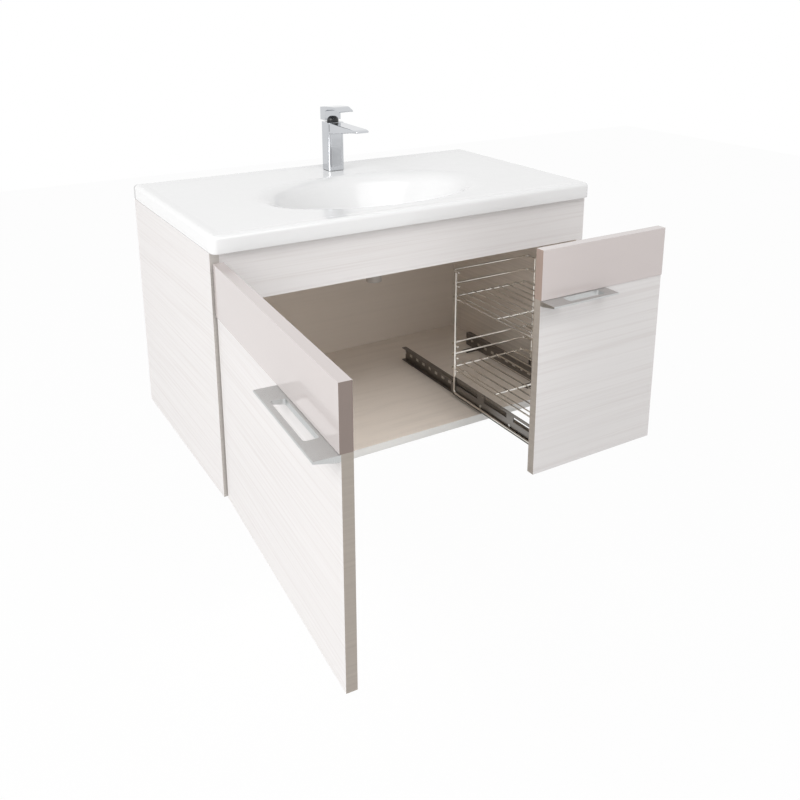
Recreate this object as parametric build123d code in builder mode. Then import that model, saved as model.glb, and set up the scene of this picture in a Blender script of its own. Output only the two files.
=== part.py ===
from build123d import *
from math import cos, radians, sin
import os

os.makedirs("parts", exist_ok=True)

# A wall-hung vanity unit: a cabinet with a hinged door on the left, a pull-out wire basket
# behind a drawer front on the right, and a ceramic basin with a mixer tap on top.
# Millimetres. The origin is midway between the two wall screws, on the wall.
# The wall is the plane y = 0, the front looks along -Y, +X is to the right and +Z up.
# The door stands open and the drawer is drawn out, as the unit is shown.

# Driving dimensions
unit_width = 800.0
carcass_height = 444.0
carcass_depth = 450.0
board = 16.0
back_board = 5.0
basin_depth = 465.0
basin_height = 29.0
fixing_drop = 40.0
fixing_inset = 80.0
front_rail_height = 91.0
hanging_rail_height = 80.0
front_gap = 3.5
band_thickness = 18.0
band_height = 91.0
top_reveal = 16.5
side_reveal = 1.0
centre_gap = 3.0
drawer_width = 290.0
door_open_angle = 93.5
drawer_out = 200.0
overrun = 2.0

# Joints of the carcass
dowel_radius = 4.0
dowel_length = 30.0
dowel_in_side = 11.0
dowel_clearance = 0.05
dowel_end_gap = 0.5
floor_dowel_shares = (0.1, 0.5, 0.9)
rail_dowel_shares = (0.25, 0.75)
fixing_hole_radius = 4.0

# Basin
bowl_setback = 275.0
bowl_depth = 115.0
bowl_edge_radius = 124.0
bowl_floor_radius = 76.0
bowl_floor_fall = 4.0
bowl_rim_round = 26.0
bowl_floor_round = 40.0
bowl_stretch = 1.7
bowl_wall = 11.0
basin_skirt = 18.0
basin_deck_thickness = 12.0
basin_corner_round = 12.0
basin_edge_round = 11.0
tap_side_offset = 18.0
tap_setback = 65.0
tap_hole_radius = 17.5
drain_hole_radius = 22.5
drain_seat_radius = 33.0
drain_seat_depth = 1.0

# Waste
waste_flange_radius = 31.5
waste_flange_thickness = 2.0
waste_tube_radius = 20.9
waste_tube_bore = 18.0
waste_tube_length = 58.0
waste_bridge_drop = 20.0
waste_bridge_thickness = 5.0
waste_bridge_width = 6.0
waste_seal_radius = 30.0
waste_seal_thickness = 4.0
waste_nut_flats = 54.0
nut_sides = 6
waste_nut_height = 9.0
thread_clearance = 0.1
tail_radius = 16.0
tail_wall = 1.5
tail_collar_length = 10.0
tail_length = 30.0
plug_radius = 28.0
plug_thickness = 4.0
plug_chamfer = 2.0
plug_stem_length = 30.0
plug_stem_radius = 3.0
plug_stem_clearance = 0.05
plug_gap = 0.3

# Tap body
column_width = 38.0
column_round = 8.0
column_height = 104.0
spout_width = 34.0
spout_reach = 138.0
spout_root_low = 80.0
spout_tip_low = 97.0
spout_tip_high = 118.0
spout_nose = 10.0
spout_round = 3.0
lengthwise = 0.5
cartridge_well_radius = 15.0
cartridge_well_depth = 42.0
aerator_radius = 9.0
aerator_length = 6.0
aerator_setback = 22.0
aerator_wall = 1.5
aerator_drop = 2.0
base_seal_thickness = 1.0
base_seal_inset = 1.5
stud_radius = 4.0
stud_length = 62.0
stud_in_body = 12.0
inlet_hole_radius = 4.25
inlet_hole_depth = 14.0
inlet_spacing = 9.0
stud_setback = 9.0
clamp_plate_radius = 25.0
clamp_plate_thickness = 3.0
clamp_slot_width = 12.0
tap_nut_flats = 13.0
tap_nut_height = 8.0

# Cartridge and lever
cartridge_clearance = 0.5
cartridge_height = 36.0
neck_radius = 11.0
neck_rise = 2.0
neck_slot_width = 8.2
neck_slot_length = 15.0
neck_slot_setback = 1.0
stem_half_width = 4.0
stem_depth = 8.0
stem_setback = -2.0
stem_in_neck = 4.0
gland_height = 5.0
gland_gap = 0.3
lever_width = 38.0
lever_gap = 4.0
lever_block_depth = 42.0
lever_rear_height = 31.0
lever_arm_thickness = 6.0
lever_reach = 105.0
lever_tip_rise = 15.0
lever_tip_drop = 7.0
lever_tip_lip = 4.0
lever_wall = 4.0
lever_screw_radius = 2.5
lever_screw_rise = 8.0
lever_screw_recess = 1.0

# Fronts and handles
hinge_inset = 9.0
hinge_depth = 7.0
panel_setback = 2.0
front_dowel_radius = 4.0
front_dowel_length = 24.0
front_dowel_inset = 45.0
handle_depth = 36.0
handle_root_height = 9.0
handle_tip_height = 3.0
handle_tip_round = 1.2
handle_gap = 0.5
handle_slot_depth = 21.0
handle_slot_inset = 6.0
handle_slot_round = 4.0
handle_screw_radius = 2.0
handle_screw_head_radius = 4.0
handle_screw_head_height = 2.0
handle_screw_in = 5.5
door_handle_length = 213.0
door_handle_slot = 120.0
door_handle_slot_end = 50.0
drawer_handle_length = 148.0
drawer_handle_slot = 82.0
drawer_handle_slot_end = 22.0
cup_radius = 17.5
cup_depth = 14.5
cup_setback = 21.0
cup_wall = 1.0
cup_floor = 0.7
cup_flange_thickness = 1.5
cup_flange_width = 12.0
cup_screw_spread = 42.0
upright = 90.0
hinge_drop = 172.0
hinge_rise = 72.0

# Hinges
arm_inset = 17.0
arm_width = 6.0
arm_height = 10.0
arm_bar = 2.4
arm_eye_radius = 2.6
cup_pin_radius = 1.5
cup_pin_length = 21.6
pin_clearance = 0.05
arm_length = 62.0
arm_plate_depth = 46.0
arm_plate_setback = 20.0
arm_plate_thickness = 5.0
arm_plate_height = 44.0
hinge_screw_radius = 2.5
hinge_screw_head_radius = 3.8
hinge_screw_head_height = 1.6
hinge_screw_in = 11.0
hinge_screw_spread = 32.0
hinge_screw_clearance = 0.2

# Slides
basket_middle = 250.0
wire_spread = 103.0
slide_length = 300.0
slide_setback = 18.0
slide_height = 30.0
slide_sheet = 1.2
slide_gap = 0.3
slide_web = 86.0
outer_depth = 11.0
middle_depth = 8.9
member_shortfall = 8.0
inner_flange_gap = 1.4
foot_thickness = 1.5
foot_length = 20.0
foot_reach = 20.0
foot_rise = 14.0
foot_shares = (0.12, 0.88)
foot_screw_radius = 2.0
foot_screw_head_radius = 4.0
foot_screw_head_height = 2.0
foot_screw_in = 12.0
hole_radius = 3.0
hole_shares = (0.08, 0.3, 0.55, 0.8)

# Carriages and the wire frame
carriage_sheet = 1.5
carriage_rise = 34.0
carriage_lip_width = 7.0
carriage_window = 75.0
carriage_strap = 22.0
carriage_window_count = 3
carriage_edge = 6.0
frame_wire_radius = 2.25
frame_clear = 27.0
frame_drop = 58.0
frame_inset = 92.0
rivet_radius = 2.0
rivet_head_radius = 3.5
rivet_head_height = 1.0

# Wires
tier_wire_radius = 1.75
floor_wire_radius = 1.5
wire_bend = 8.0
wire_sides = 8
half_turn = 180.0
weld = 0.4
upper_rail_drops = (0.0, 30.0, 59.0)
lower_rail_rises = (105.0, 79.0, 49.5)
floor_wire_pitch = 22.5
floor_wire_count = 9
guard_reach = 20.0
guard_return = 6.0

# Saddles and buffers
saddle_width = 26.0
saddle_height = 10.0
saddle_depth = 6.5
saddle_drop = 81.0
saddle_rise = 41.5
saddle_screw_spread = 18.0
saddle_screw_radius = 1.75
saddle_screw_head_radius = 3.2
saddle_screw_head_height = 1.5
saddle_screw_in = 12.0
buffer_radius = 4.0
buffer_thickness = 3.2
buffer_inset = 20.0

# Levels and planes that the pieces share
half_width = unit_width / 2
fixing_spacing = unit_width - 2 * fixing_inset
inner_half = half_width - board
carcass_top = fixing_drop
underside = carcass_top - carcass_height
floor_top = underside + board
carcass_front = -carcass_depth
deck = carcass_top + basin_height
fronts_top = carcass_top - top_reveal
seam = fronts_top - band_height
fronts_back = carcass_front - front_gap
door_width = unit_width - 2 * side_reveal - centre_gap - drawer_width

# Carcass boards and the dowels in their joints
dowel_in_board = dowel_length - dowel_in_side

floor_dowels = [(carcass_front * share, underside + board / 2) for share in floor_dowel_shares]
rail_dowels = [
    (carcass_front + board / 2, carcass_top - front_rail_height * share) for share in rail_dowel_shares
]
hanging_dowels = [
    (-back_board - board / 2, carcass_top - hanging_rail_height * share) for share in rail_dowel_shares
]
side_dowels = floor_dowels + rail_dowels + hanging_dowels


def drill_end(side, dowels):
    """Dowel holes in the end of a cross board; side is -1 for its left end and 1 for its right."""
    with BuildSketch(Plane.YZ.offset(side * inner_half)) as holes:
        with Locations(*dowels):
            Circle(dowel_radius + dowel_clearance)
    extrude(holes.sketch, amount=-side * (dowel_in_board + dowel_end_gap), mode=Mode.SUBTRACT)


def side_board(side):
    """A side panel with the blind dowel holes in its inner face."""
    with BuildPart() as panel:
        with BuildSketch(Plane.YZ.offset(side * inner_half)):
            with Locations((carcass_front / 2, underside + carcass_height / 2)):
                Rectangle(carcass_depth, carcass_height)
        extrude(amount=side * board)
        with BuildSketch(Plane.YZ.offset(side * inner_half)):
            with Locations(*side_dowels):
                Circle(dowel_radius + dowel_clearance)
        extrude(amount=side * (dowel_in_side + dowel_end_gap), mode=Mode.SUBTRACT)
    return panel


def cross_board(front, thickness, low, height, dowels):
    """A board between the sides, from y = front towards the wall, with dowel holes in its ends."""
    with BuildPart() as piece:
        with BuildSketch(Plane.XZ.offset(-front)):
            with Locations((0, low + height / 2)):
                Rectangle(2 * inner_half, height)
        extrude(amount=-thickness)
        for side in (-1, 1):
            drill_end(side, dowels)
    return piece


def drill_fixings(depth):
    """The two holes for the wall screws, from the wall forwards."""
    with BuildSketch(Plane.XZ) as holes:
        with Locations((-fixing_spacing / 2, 0), (fixing_spacing / 2, 0)):
            Circle(fixing_hole_radius)
    extrude(holes.sketch, amount=depth, mode=Mode.SUBTRACT)


side_panel_left = side_board(-1)
side_panel_right = side_board(1)
floor_panel = cross_board(carcass_front, carcass_depth - back_board, underside, board, floor_dowels)
front_rail = cross_board(
    carcass_front, board, carcass_top - front_rail_height, front_rail_height, rail_dowels
)

with BuildPart() as hanging_rail:
    with BuildSketch(Plane.XZ.offset(back_board)):
        with Locations((0, carcass_top - hanging_rail_height / 2)):
            Rectangle(2 * inner_half, hanging_rail_height)
    extrude(amount=board)
    for end in (-1, 1):
        drill_end(end, hanging_dowels)
    drill_fixings(back_board + board + overrun)

with BuildPart() as back_panel:
    with BuildSketch(Plane.XZ):
        with Locations((0, underside + carcass_height / 2)):
            Rectangle(2 * inner_half, carcass_height)
    extrude(amount=back_board)
    drill_fixings(back_board + overrun)

with BuildPart() as carcass_dowels:
    for end in (-1, 1):
        with BuildSketch(Plane.YZ.offset(end * (inner_half - dowel_in_board))):
            with Locations(*side_dowels):
                Circle(dowel_radius)
        extrude(amount=end * dowel_length)

# Basin: a slab with a skirt, and an oval bowl with a soft rim

bowl_axis = Axis((0, -bowl_setback, 0), (0, 0, 1))
bowl_floor = deck - bowl_depth
drain_seat = bowl_floor - drain_seat_depth
bowl_under = bowl_floor - bowl_wall

with BuildPart() as bowl_hollow:
    with BuildSketch(Plane.XZ.offset(bowl_setback)) as hollow_profile:
        with BuildLine():
            Polyline(
                (0, deck + overrun),
                (bowl_edge_radius + bowl_rim_round, deck + overrun),
                (bowl_edge_radius + bowl_rim_round, deck),
                (bowl_edge_radius, deck),
                (bowl_floor_radius, bowl_floor + bowl_floor_fall),
                (0, bowl_floor),
                close=True,
            )
        make_face()
        rim_corner = hollow_profile.vertices().sort_by_distance((bowl_edge_radius, -bowl_setback, deck))[0]
        floor_corner = hollow_profile.vertices().sort_by_distance(
            (bowl_floor_radius, -bowl_setback, bowl_floor + bowl_floor_fall)
        )[0]
        fillet(rim_corner, radius=bowl_rim_round)
        fillet(floor_corner, radius=bowl_floor_round)
    revolve(axis=bowl_axis)
    scale(by=(bowl_stretch, 1, 1))

with BuildPart() as bowl_form:
    with BuildSketch(Plane.XZ.offset(bowl_setback)) as form_profile:
        with BuildLine():
            Polyline(
                (0, deck - basin_deck_thickness / 2),
                (bowl_edge_radius + bowl_wall, deck - basin_deck_thickness / 2),
                (bowl_floor_radius + bowl_wall, bowl_under),
                (0, bowl_under),
                close=True,
            )
        make_face()
        under_corner = form_profile.vertices().sort_by_distance(
            (bowl_floor_radius + bowl_wall, -bowl_setback, bowl_under)
        )[0]
        fillet(under_corner, radius=bowl_floor_round)
    revolve(axis=bowl_axis)
    scale(by=(bowl_stretch, 1, 1))

with BuildPart() as basin:
    with BuildSketch(Plane.XY.offset(carcass_top)) as basin_outline:
        with Locations((0, -basin_depth / 2)):
            Rectangle(unit_width, basin_depth)
        fillet(basin_outline.vertices().group_by(Axis.Y)[0], radius=basin_corner_round)
    extrude(amount=basin_height)
    top_edges = basin.faces().sort_by(Axis.Z)[-1].edges().sort_by(Axis.Y)
    fillet(top_edges[:-1], radius=basin_edge_round)
    with BuildSketch(Plane.XY.offset(carcass_top)):
        with Locations((0, -basin_depth / 2)):
            Rectangle(unit_width - 2 * basin_skirt, basin_depth - 2 * basin_skirt)
    extrude(amount=basin_height - basin_deck_thickness, mode=Mode.SUBTRACT)
    add(bowl_form.part)
    add(bowl_hollow.part, mode=Mode.SUBTRACT)
    with BuildSketch(Plane.XY.offset(deck + overrun)):
        with Locations((tap_side_offset, -tap_setback)):
            Circle(tap_hole_radius)
    extrude(amount=-(basin_deck_thickness + 2 * overrun), mode=Mode.SUBTRACT)
    with BuildSketch(Plane.XY.offset(drain_seat)):
        with Locations((0, -bowl_setback)):
            Circle(drain_seat_radius)
    extrude(amount=bowl_floor_fall + drain_seat_depth, mode=Mode.SUBTRACT)
    with BuildSketch(Plane.XY.offset(drain_seat)):
        with Locations((0, -bowl_setback)):
            Circle(drain_hole_radius)
    extrude(amount=-(bowl_wall + overrun), mode=Mode.SUBTRACT)

# Waste: a flanged tube through the bowl, its seal, nut and tailpiece, and a plug that lifts

waste_bottom = drain_seat - waste_tube_length
waste_top = drain_seat + waste_flange_thickness
bridge_top = drain_seat - waste_bridge_drop
tail_top = waste_bottom + tail_collar_length


def ring(level, height, outer, inner):
    """A round tube about the drain's axis, built up from the level."""
    with BuildSketch(Plane.XY.offset(level)) as section:
        with Locations((0, -bowl_setback)):
            Circle(outer)
            Circle(inner, mode=Mode.SUBTRACT)
    extrude(section.sketch, amount=height)


with BuildPart() as waste_flange:
    ring(drain_seat, waste_flange_thickness, waste_flange_radius, waste_tube_bore)
    ring(waste_bottom, waste_tube_length, waste_tube_radius, waste_tube_bore)
    with BuildSketch(Plane.XY.offset(bridge_top - waste_bridge_thickness)):
        with Locations((0, -bowl_setback)):
            Rectangle(2 * waste_tube_bore + waste_flange_thickness, waste_bridge_width)
            Circle(waste_bridge_width)
            Circle(plug_stem_radius + plug_stem_clearance, mode=Mode.SUBTRACT)
    extrude(amount=waste_bridge_thickness)

with BuildPart() as waste_seal:
    ring(bowl_under - waste_seal_thickness, waste_seal_thickness, waste_seal_radius,
         waste_tube_radius + thread_clearance)

with BuildPart() as waste_nut:
    with BuildSketch(Plane.XY.offset(bowl_under - waste_seal_thickness - waste_nut_height)):
        with Locations((0, -bowl_setback)):
            RegularPolygon(waste_nut_flats / 2, nut_sides, major_radius=False)
            Circle(waste_tube_radius + thread_clearance, mode=Mode.SUBTRACT)
    extrude(amount=waste_nut_height)

with BuildPart() as waste_tail:
    ring(waste_bottom, tail_collar_length, waste_tube_bore - thread_clearance, tail_radius - tail_wall)
    ring(tail_top - tail_length, tail_length, tail_radius, tail_radius - tail_wall)

with BuildPart() as waste_plug:
    with BuildSketch(Plane.XY.offset(waste_top + plug_gap)):
        with Locations((0, -bowl_setback)):
            Circle(plug_radius)
    extrude(amount=plug_thickness)
    chamfer(waste_plug.edges().sort_by(Axis.Z)[-1], length=plug_chamfer)
    with BuildSketch(Plane.XY.offset(waste_top + plug_gap)):
        with Locations((0, -bowl_setback)):
            Circle(plug_stem_radius)
    extrude(amount=-plug_stem_length)

# Mixer tap: a square column with a wedge spout, on the deck behind the bowl

tap_centre = (tap_side_offset, -tap_setback)
tap_foot = deck + base_seal_thickness
tap_back = -tap_setback + column_width / 2
tap_front = -tap_setback - column_width / 2
spout_tip = -tap_setback - spout_reach
column_top = tap_foot + column_height
deck_under = deck - basin_deck_thickness
stud_at = (tap_side_offset, -tap_setback - stud_setback)
aerator_at = (tap_side_offset, spout_tip + aerator_setback)
inlet_places = [(tap_side_offset + side * inlet_spacing, -tap_setback) for side in (-1, 1)]
aerator_face = tap_foot + spout_tip_low - aerator_drop

with BuildPart() as tap_body:
    with BuildSketch(Plane.XY.offset(tap_foot)) as column_section:
        with Locations(tap_centre):
            Rectangle(column_width, column_width)
        fillet(column_section.vertices(), radius=column_round)
    extrude(amount=column_height)
    with BuildSketch(Plane.YZ.offset(tap_side_offset - spout_width / 2)):
        with BuildLine():
            Polyline(
                (-tap_setback, tap_foot + spout_root_low),
                (-tap_setback, column_top),
                (tap_front, column_top),
                (spout_tip + spout_nose, tap_foot + spout_tip_high),
                (spout_tip, tap_foot + spout_tip_low + spout_nose / 2),
                (spout_tip + spout_nose / 2, tap_foot + spout_tip_low),
                close=True,
            )
        make_face()
    extrude(amount=spout_width)
    spout_edges = tap_body.edges().filter_by(
        lambda edge: edge.center().Y < tap_front - spout_nose and abs(edge.tangent_at(0).X) < lengthwise
    )
    fillet(spout_edges, radius=spout_round)
    with BuildSketch(Plane.XY.offset(column_top)):
        with Locations(tap_centre):
            Circle(cartridge_well_radius)
    extrude(amount=-cartridge_well_depth, mode=Mode.SUBTRACT)
    with BuildSketch(Plane.XY.offset(aerator_face - overrun)):
        with Locations(aerator_at):
            Circle(aerator_radius)
    extrude(amount=aerator_length + overrun, mode=Mode.SUBTRACT)
    with BuildSketch(Plane.XY.offset(tap_foot)):
        with Locations(*inlet_places):
            Circle(inlet_hole_radius)
    extrude(amount=inlet_hole_depth, mode=Mode.SUBTRACT)
    with BuildSketch(Plane.XY.offset(tap_foot)):
        with Locations(stud_at):
            Circle(stud_radius + thread_clearance)
    extrude(amount=stud_in_body + dowel_end_gap, mode=Mode.SUBTRACT)

with BuildPart() as tap_base_seal:
    with BuildSketch(Plane.XY.offset(deck)) as seal_section:
        with Locations(tap_centre):
            Rectangle(column_width - 2 * base_seal_inset, column_width - 2 * base_seal_inset)
        fillet(seal_section.vertices(), radius=column_round)
        with Locations(tap_centre):
            Circle(tap_hole_radius - base_seal_inset, mode=Mode.SUBTRACT)
    extrude(amount=base_seal_thickness)

with BuildPart() as tap_stud:
    with BuildSketch(Plane.XY.offset(tap_foot + stud_in_body)):
        with Locations(stud_at):
            Circle(stud_radius)
    extrude(amount=-stud_length)

with BuildPart() as tap_clamp_plate:
    with BuildSketch(Plane.XY.offset(deck_under)):
        with Locations(tap_centre):
            Circle(clamp_plate_radius)
            SlotOverall(2 * inlet_spacing + clamp_slot_width, clamp_slot_width, mode=Mode.SUBTRACT)
        with Locations(stud_at):
            Circle(stud_radius + thread_clearance, mode=Mode.SUBTRACT)
    extrude(amount=-clamp_plate_thickness)

with BuildPart() as tap_nut:
    with BuildSketch(Plane.XY.offset(deck_under - clamp_plate_thickness)):
        with Locations(stud_at):
            RegularPolygon(tap_nut_flats / 2, nut_sides, major_radius=False)
            Circle(stud_radius + thread_clearance, mode=Mode.SUBTRACT)
    extrude(amount=-tap_nut_height)

with BuildPart() as tap_aerator:
    with BuildSketch(Plane.XY.offset(aerator_face)):
        with Locations(aerator_at):
            Circle(aerator_radius - dowel_clearance)
            Circle(aerator_radius - aerator_wall, mode=Mode.SUBTRACT)
    extrude(amount=aerator_length)

# Cartridge under the lever: body in the well, a turning neck, and the lever that tilts on it

lever_low = column_top + lever_gap
lever_top = column_top + lever_rear_height
lever_back = tap_back
lever_front = lever_back - lever_reach - lever_width / 2
neck_low = column_top - cartridge_well_depth + cartridge_height
stem_top = lever_top - lever_wall - lever_arm_thickness
stem_at = (tap_side_offset, -tap_setback - stem_setback)
stem_back_wall = lever_back - stem_at[1] - stem_depth / 2
lever_screw_level = lever_low + lever_screw_rise

with BuildPart() as cartridge:
    with BuildSketch(Plane.XY.offset(column_top - cartridge_well_depth)):
        with Locations(tap_centre):
            Circle(cartridge_well_radius - cartridge_clearance)
    extrude(amount=cartridge_height)

with BuildPart() as cartridge_neck:
    with BuildSketch(Plane.XY.offset(neck_low)):
        with Locations(tap_centre):
            Circle(neck_radius)
        with Locations((tap_side_offset, -tap_setback + neck_slot_setback)):
            Rectangle(neck_slot_width, neck_slot_length, mode=Mode.SUBTRACT)
    extrude(amount=column_top + neck_rise - neck_low)

with BuildPart() as cartridge_gland:
    with BuildSketch(Plane.XY.offset(column_top - gland_height)):
        with Locations(tap_centre):
            Circle(cartridge_well_radius - cartridge_clearance)
            Circle(neck_radius + gland_gap, mode=Mode.SUBTRACT)
    extrude(amount=gland_height)

with BuildPart() as lever_stem:
    with BuildSketch(Plane.XY.offset(column_top - stem_in_neck)):
        with Locations(stem_at):
            Rectangle(2 * stem_half_width, stem_depth)
    extrude(amount=stem_top - column_top + stem_in_neck)

with BuildPart() as tap_lever:
    with BuildSketch(Plane.YZ.offset(tap_side_offset - lever_width / 2)):
        with BuildLine():
            Polyline(
                (lever_back, lever_low),
                (lever_back, lever_top),
                (lever_front + lever_tip_lip, lever_top + lever_tip_rise),
                (lever_front, lever_top + lever_tip_rise - lever_tip_drop),
                (lever_front + lever_tip_lip, lever_top + lever_tip_rise - lever_tip_drop),
                (lever_back - lever_block_depth, lever_top - lever_arm_thickness),
                (lever_back - lever_block_depth, lever_low),
                close=True,
            )
        make_face()
    extrude(amount=lever_width)
    with BuildSketch(Plane.XY.offset(lever_low)):
        with Locations(stem_at):
            Rectangle(2 * (stem_half_width + dowel_clearance), stem_depth + 2 * dowel_clearance)
    extrude(amount=stem_top - lever_low, mode=Mode.SUBTRACT)
    with BuildSketch(Plane.XZ.offset(-lever_back)):
        with Locations((tap_side_offset, lever_screw_level)):
            Circle(lever_screw_radius + dowel_clearance)
    extrude(amount=stem_back_wall, mode=Mode.SUBTRACT)

with BuildPart() as lever_screw:
    with BuildSketch(Plane.XZ.offset(-lever_back + lever_screw_recess)):
        with Locations((tap_side_offset, lever_screw_level)):
            Circle(lever_screw_radius)
    extrude(amount=stem_back_wall - lever_screw_recess)

# Door and drawer front: a frame for each, with x along the front, y into its thickness and z up

door_turn = radians(door_open_angle)
pivot_x = -half_width + side_reveal + hinge_inset
pivot_y = fronts_back - band_thickness + hinge_depth
door_along = (cos(door_turn), -sin(door_turn), 0)
door_through = (sin(door_turn), cos(door_turn), 0)
door_corner = (
    pivot_x - hinge_inset * door_along[0] - hinge_depth * door_through[0],
    pivot_y - hinge_inset * door_along[1] - hinge_depth * door_through[1],
    0,
)
door_frame = Plane(origin=door_corner, x_dir=door_along, z_dir=(0, 0, 1))
drawer_left = half_width - side_reveal - drawer_width
drawer_face = fronts_back - band_thickness - drawer_out
drawer_frame = Plane(origin=(drawer_left, drawer_face, 0), x_dir=(1, 0, 0), z_dir=(0, 0, 1))


def placed(frame, plane):
    """The plane, given in the frame of a front, as it lies in the unit."""
    return Plane(frame.location * plane.location)


def dowel_places(width):
    return [(front_dowel_inset, band_thickness / 2), (width / 2, band_thickness / 2),
            (width - front_dowel_inset, band_thickness / 2)]


def band_board(frame, width):
    """The glossy band along the top of a front."""
    with BuildPart() as piece:
        with BuildSketch(placed(frame, Plane.XY.offset(seam))):
            with Locations((width / 2, band_thickness / 2)):
                Rectangle(width, band_thickness)
        extrude(amount=band_height)
        with BuildSketch(placed(frame, Plane.XY.offset(seam))):
            with Locations(*dowel_places(width)):
                Circle(front_dowel_radius + dowel_clearance)
        extrude(amount=front_dowel_length / 2 + dowel_end_gap, mode=Mode.SUBTRACT)
    return piece


def panel_board(frame, width, screws):
    """The lower board of a front, with the holes for its handle's screws."""
    with BuildPart() as piece:
        with BuildSketch(placed(frame, Plane.XY.offset(underside))):
            with Locations((width / 2, (panel_setback + band_thickness) / 2)):
                Rectangle(width, band_thickness - panel_setback)
        extrude(amount=seam - underside)
        with BuildSketch(placed(frame, Plane.XY.offset(seam))):
            with Locations(*dowel_places(width)):
                Circle(front_dowel_radius + dowel_clearance)
        extrude(amount=-(front_dowel_length / 2 + dowel_end_gap), mode=Mode.SUBTRACT)
        with BuildSketch(placed(frame, Plane.XZ.offset(-band_thickness))):
            with Locations(*[(x, handle_axis) for x in screws]):
                Circle(handle_screw_radius + thread_clearance)
        extrude(amount=band_thickness - panel_setback, mode=Mode.SUBTRACT)
    return piece


def front_dowels(frame, width):
    with BuildPart() as piece:
        with BuildSketch(placed(frame, Plane.XY.offset(seam - front_dowel_length / 2))):
            with Locations(*dowel_places(width)):
                Circle(front_dowel_radius)
        extrude(amount=front_dowel_length)
    return piece


def handle_plate(frame, start, length, slot_start, slot_length, screws):
    """A ledge that tapers away from the front, with a finger slot through it."""
    with BuildPart() as piece:
        side_view = placed(frame, Plane.YZ.offset(start))
        tip_point = side_view.from_local_coords((panel_setback - handle_depth, handle_top))
        with BuildSketch(side_view) as profile:
            with BuildLine():
                Polyline(
                    (panel_setback, handle_top),
                    (panel_setback - handle_depth, handle_top),
                    (panel_setback - handle_depth, handle_top - handle_tip_height),
                    (panel_setback - handle_slot_inset, handle_top - handle_root_height),
                    (panel_setback, handle_top - handle_root_height),
                    close=True,
                )
            make_face()
            tip = profile.vertices().sort_by_distance(tip_point)[:2]
            fillet(tip, radius=handle_tip_round)
        extrude(amount=length)
        with BuildSketch(placed(frame, Plane.XY.offset(handle_top + overrun))) as opening:
            with Locations((slot_start + slot_length / 2,
                            panel_setback - handle_slot_inset - handle_slot_depth / 2)):
                Rectangle(slot_length, handle_slot_depth)
            fillet(opening.vertices(), radius=handle_slot_round)
        extrude(amount=-(handle_root_height + 2 * overrun), mode=Mode.SUBTRACT)
        with BuildSketch(placed(frame, Plane.XZ.offset(-panel_setback))):
            with Locations(*[(x, handle_axis) for x in screws]):
                Circle(handle_screw_radius + dowel_clearance)
        extrude(amount=handle_screw_in, mode=Mode.SUBTRACT)
    return piece


def handle_screws(frame, screws):
    """Pan-head screws from the inner face of the front into its handle."""
    with BuildPart() as piece:
        with BuildSketch(placed(frame, Plane.XZ.offset(-band_thickness))):
            with Locations(*[(x, handle_axis) for x in screws]):
                Circle(handle_screw_radius)
        extrude(amount=band_thickness - panel_setback + handle_screw_in - dowel_end_gap)
        with BuildSketch(placed(frame, Plane.XZ.offset(-band_thickness))):
            with Locations(*[(x, handle_axis) for x in screws]):
                Circle(handle_screw_head_radius)
        extrude(amount=-handle_screw_head_height)
    return piece


handle_top = seam - handle_gap
handle_axis = handle_top - handle_root_height / 2
door_handle_start = door_width - door_handle_length
door_slot_start = door_width - door_handle_slot_end - door_handle_slot
door_screws = (
    door_handle_start + door_handle_slot_end / 2,
    door_width - door_handle_slot_end / 2,
)
drawer_slot_start = drawer_handle_length - drawer_handle_slot_end - drawer_handle_slot
drawer_screws = (drawer_handle_slot_end / 2, drawer_handle_length - drawer_handle_slot_end / 2)

door_band = band_board(door_frame, door_width)
door_panel = panel_board(door_frame, door_width, door_screws)
door_dowels = front_dowels(door_frame, door_width)
door_handle = handle_plate(
    door_frame, door_handle_start, door_handle_length, door_slot_start, door_handle_slot, door_screws
)
door_handle_screws = handle_screws(door_frame, door_screws)
drawer_band = band_board(drawer_frame, drawer_width)
drawer_panel = panel_board(drawer_frame, drawer_width, drawer_screws)
drawer_dowels = front_dowels(drawer_frame, drawer_width)
drawer_handle = handle_plate(
    drawer_frame, 0, drawer_handle_length, drawer_slot_start, drawer_handle_slot, drawer_screws
)
drawer_handle_screws = handle_screws(drawer_frame, drawer_screws)

# Concealed hinges: a cup let into the door, an arm and a plate on the side panel, two heights

hinge_levels = (carcass_top - hinge_drop, underside + hinge_rise)
cup_places = [(cup_setback, level) for level in hinge_levels]
cup_screw_places = [
    (cup_setback, level + side * cup_screw_spread / 2) for level in hinge_levels for side in (-1, 1)
]
plate_middle = carcass_front + arm_plate_setback + arm_plate_depth / 2
plate_screw_places = [
    (plate_middle, level + side * hinge_screw_spread / 2) for level in hinge_levels for side in (-1, 1)
]

with BuildPart() as door_panel_bored:
    add(door_panel.part)
    with BuildSketch(placed(door_frame, Plane.XZ.offset(-band_thickness))):
        with Locations(*cup_places):
            Circle(cup_radius)
    extrude(amount=cup_depth, mode=Mode.SUBTRACT)
    with BuildSketch(placed(door_frame, Plane.XZ.offset(-band_thickness))):
        with Locations(*cup_screw_places):
            Circle(hinge_screw_radius + dowel_clearance)
    extrude(amount=hinge_screw_in + dowel_end_gap, mode=Mode.SUBTRACT)

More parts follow.
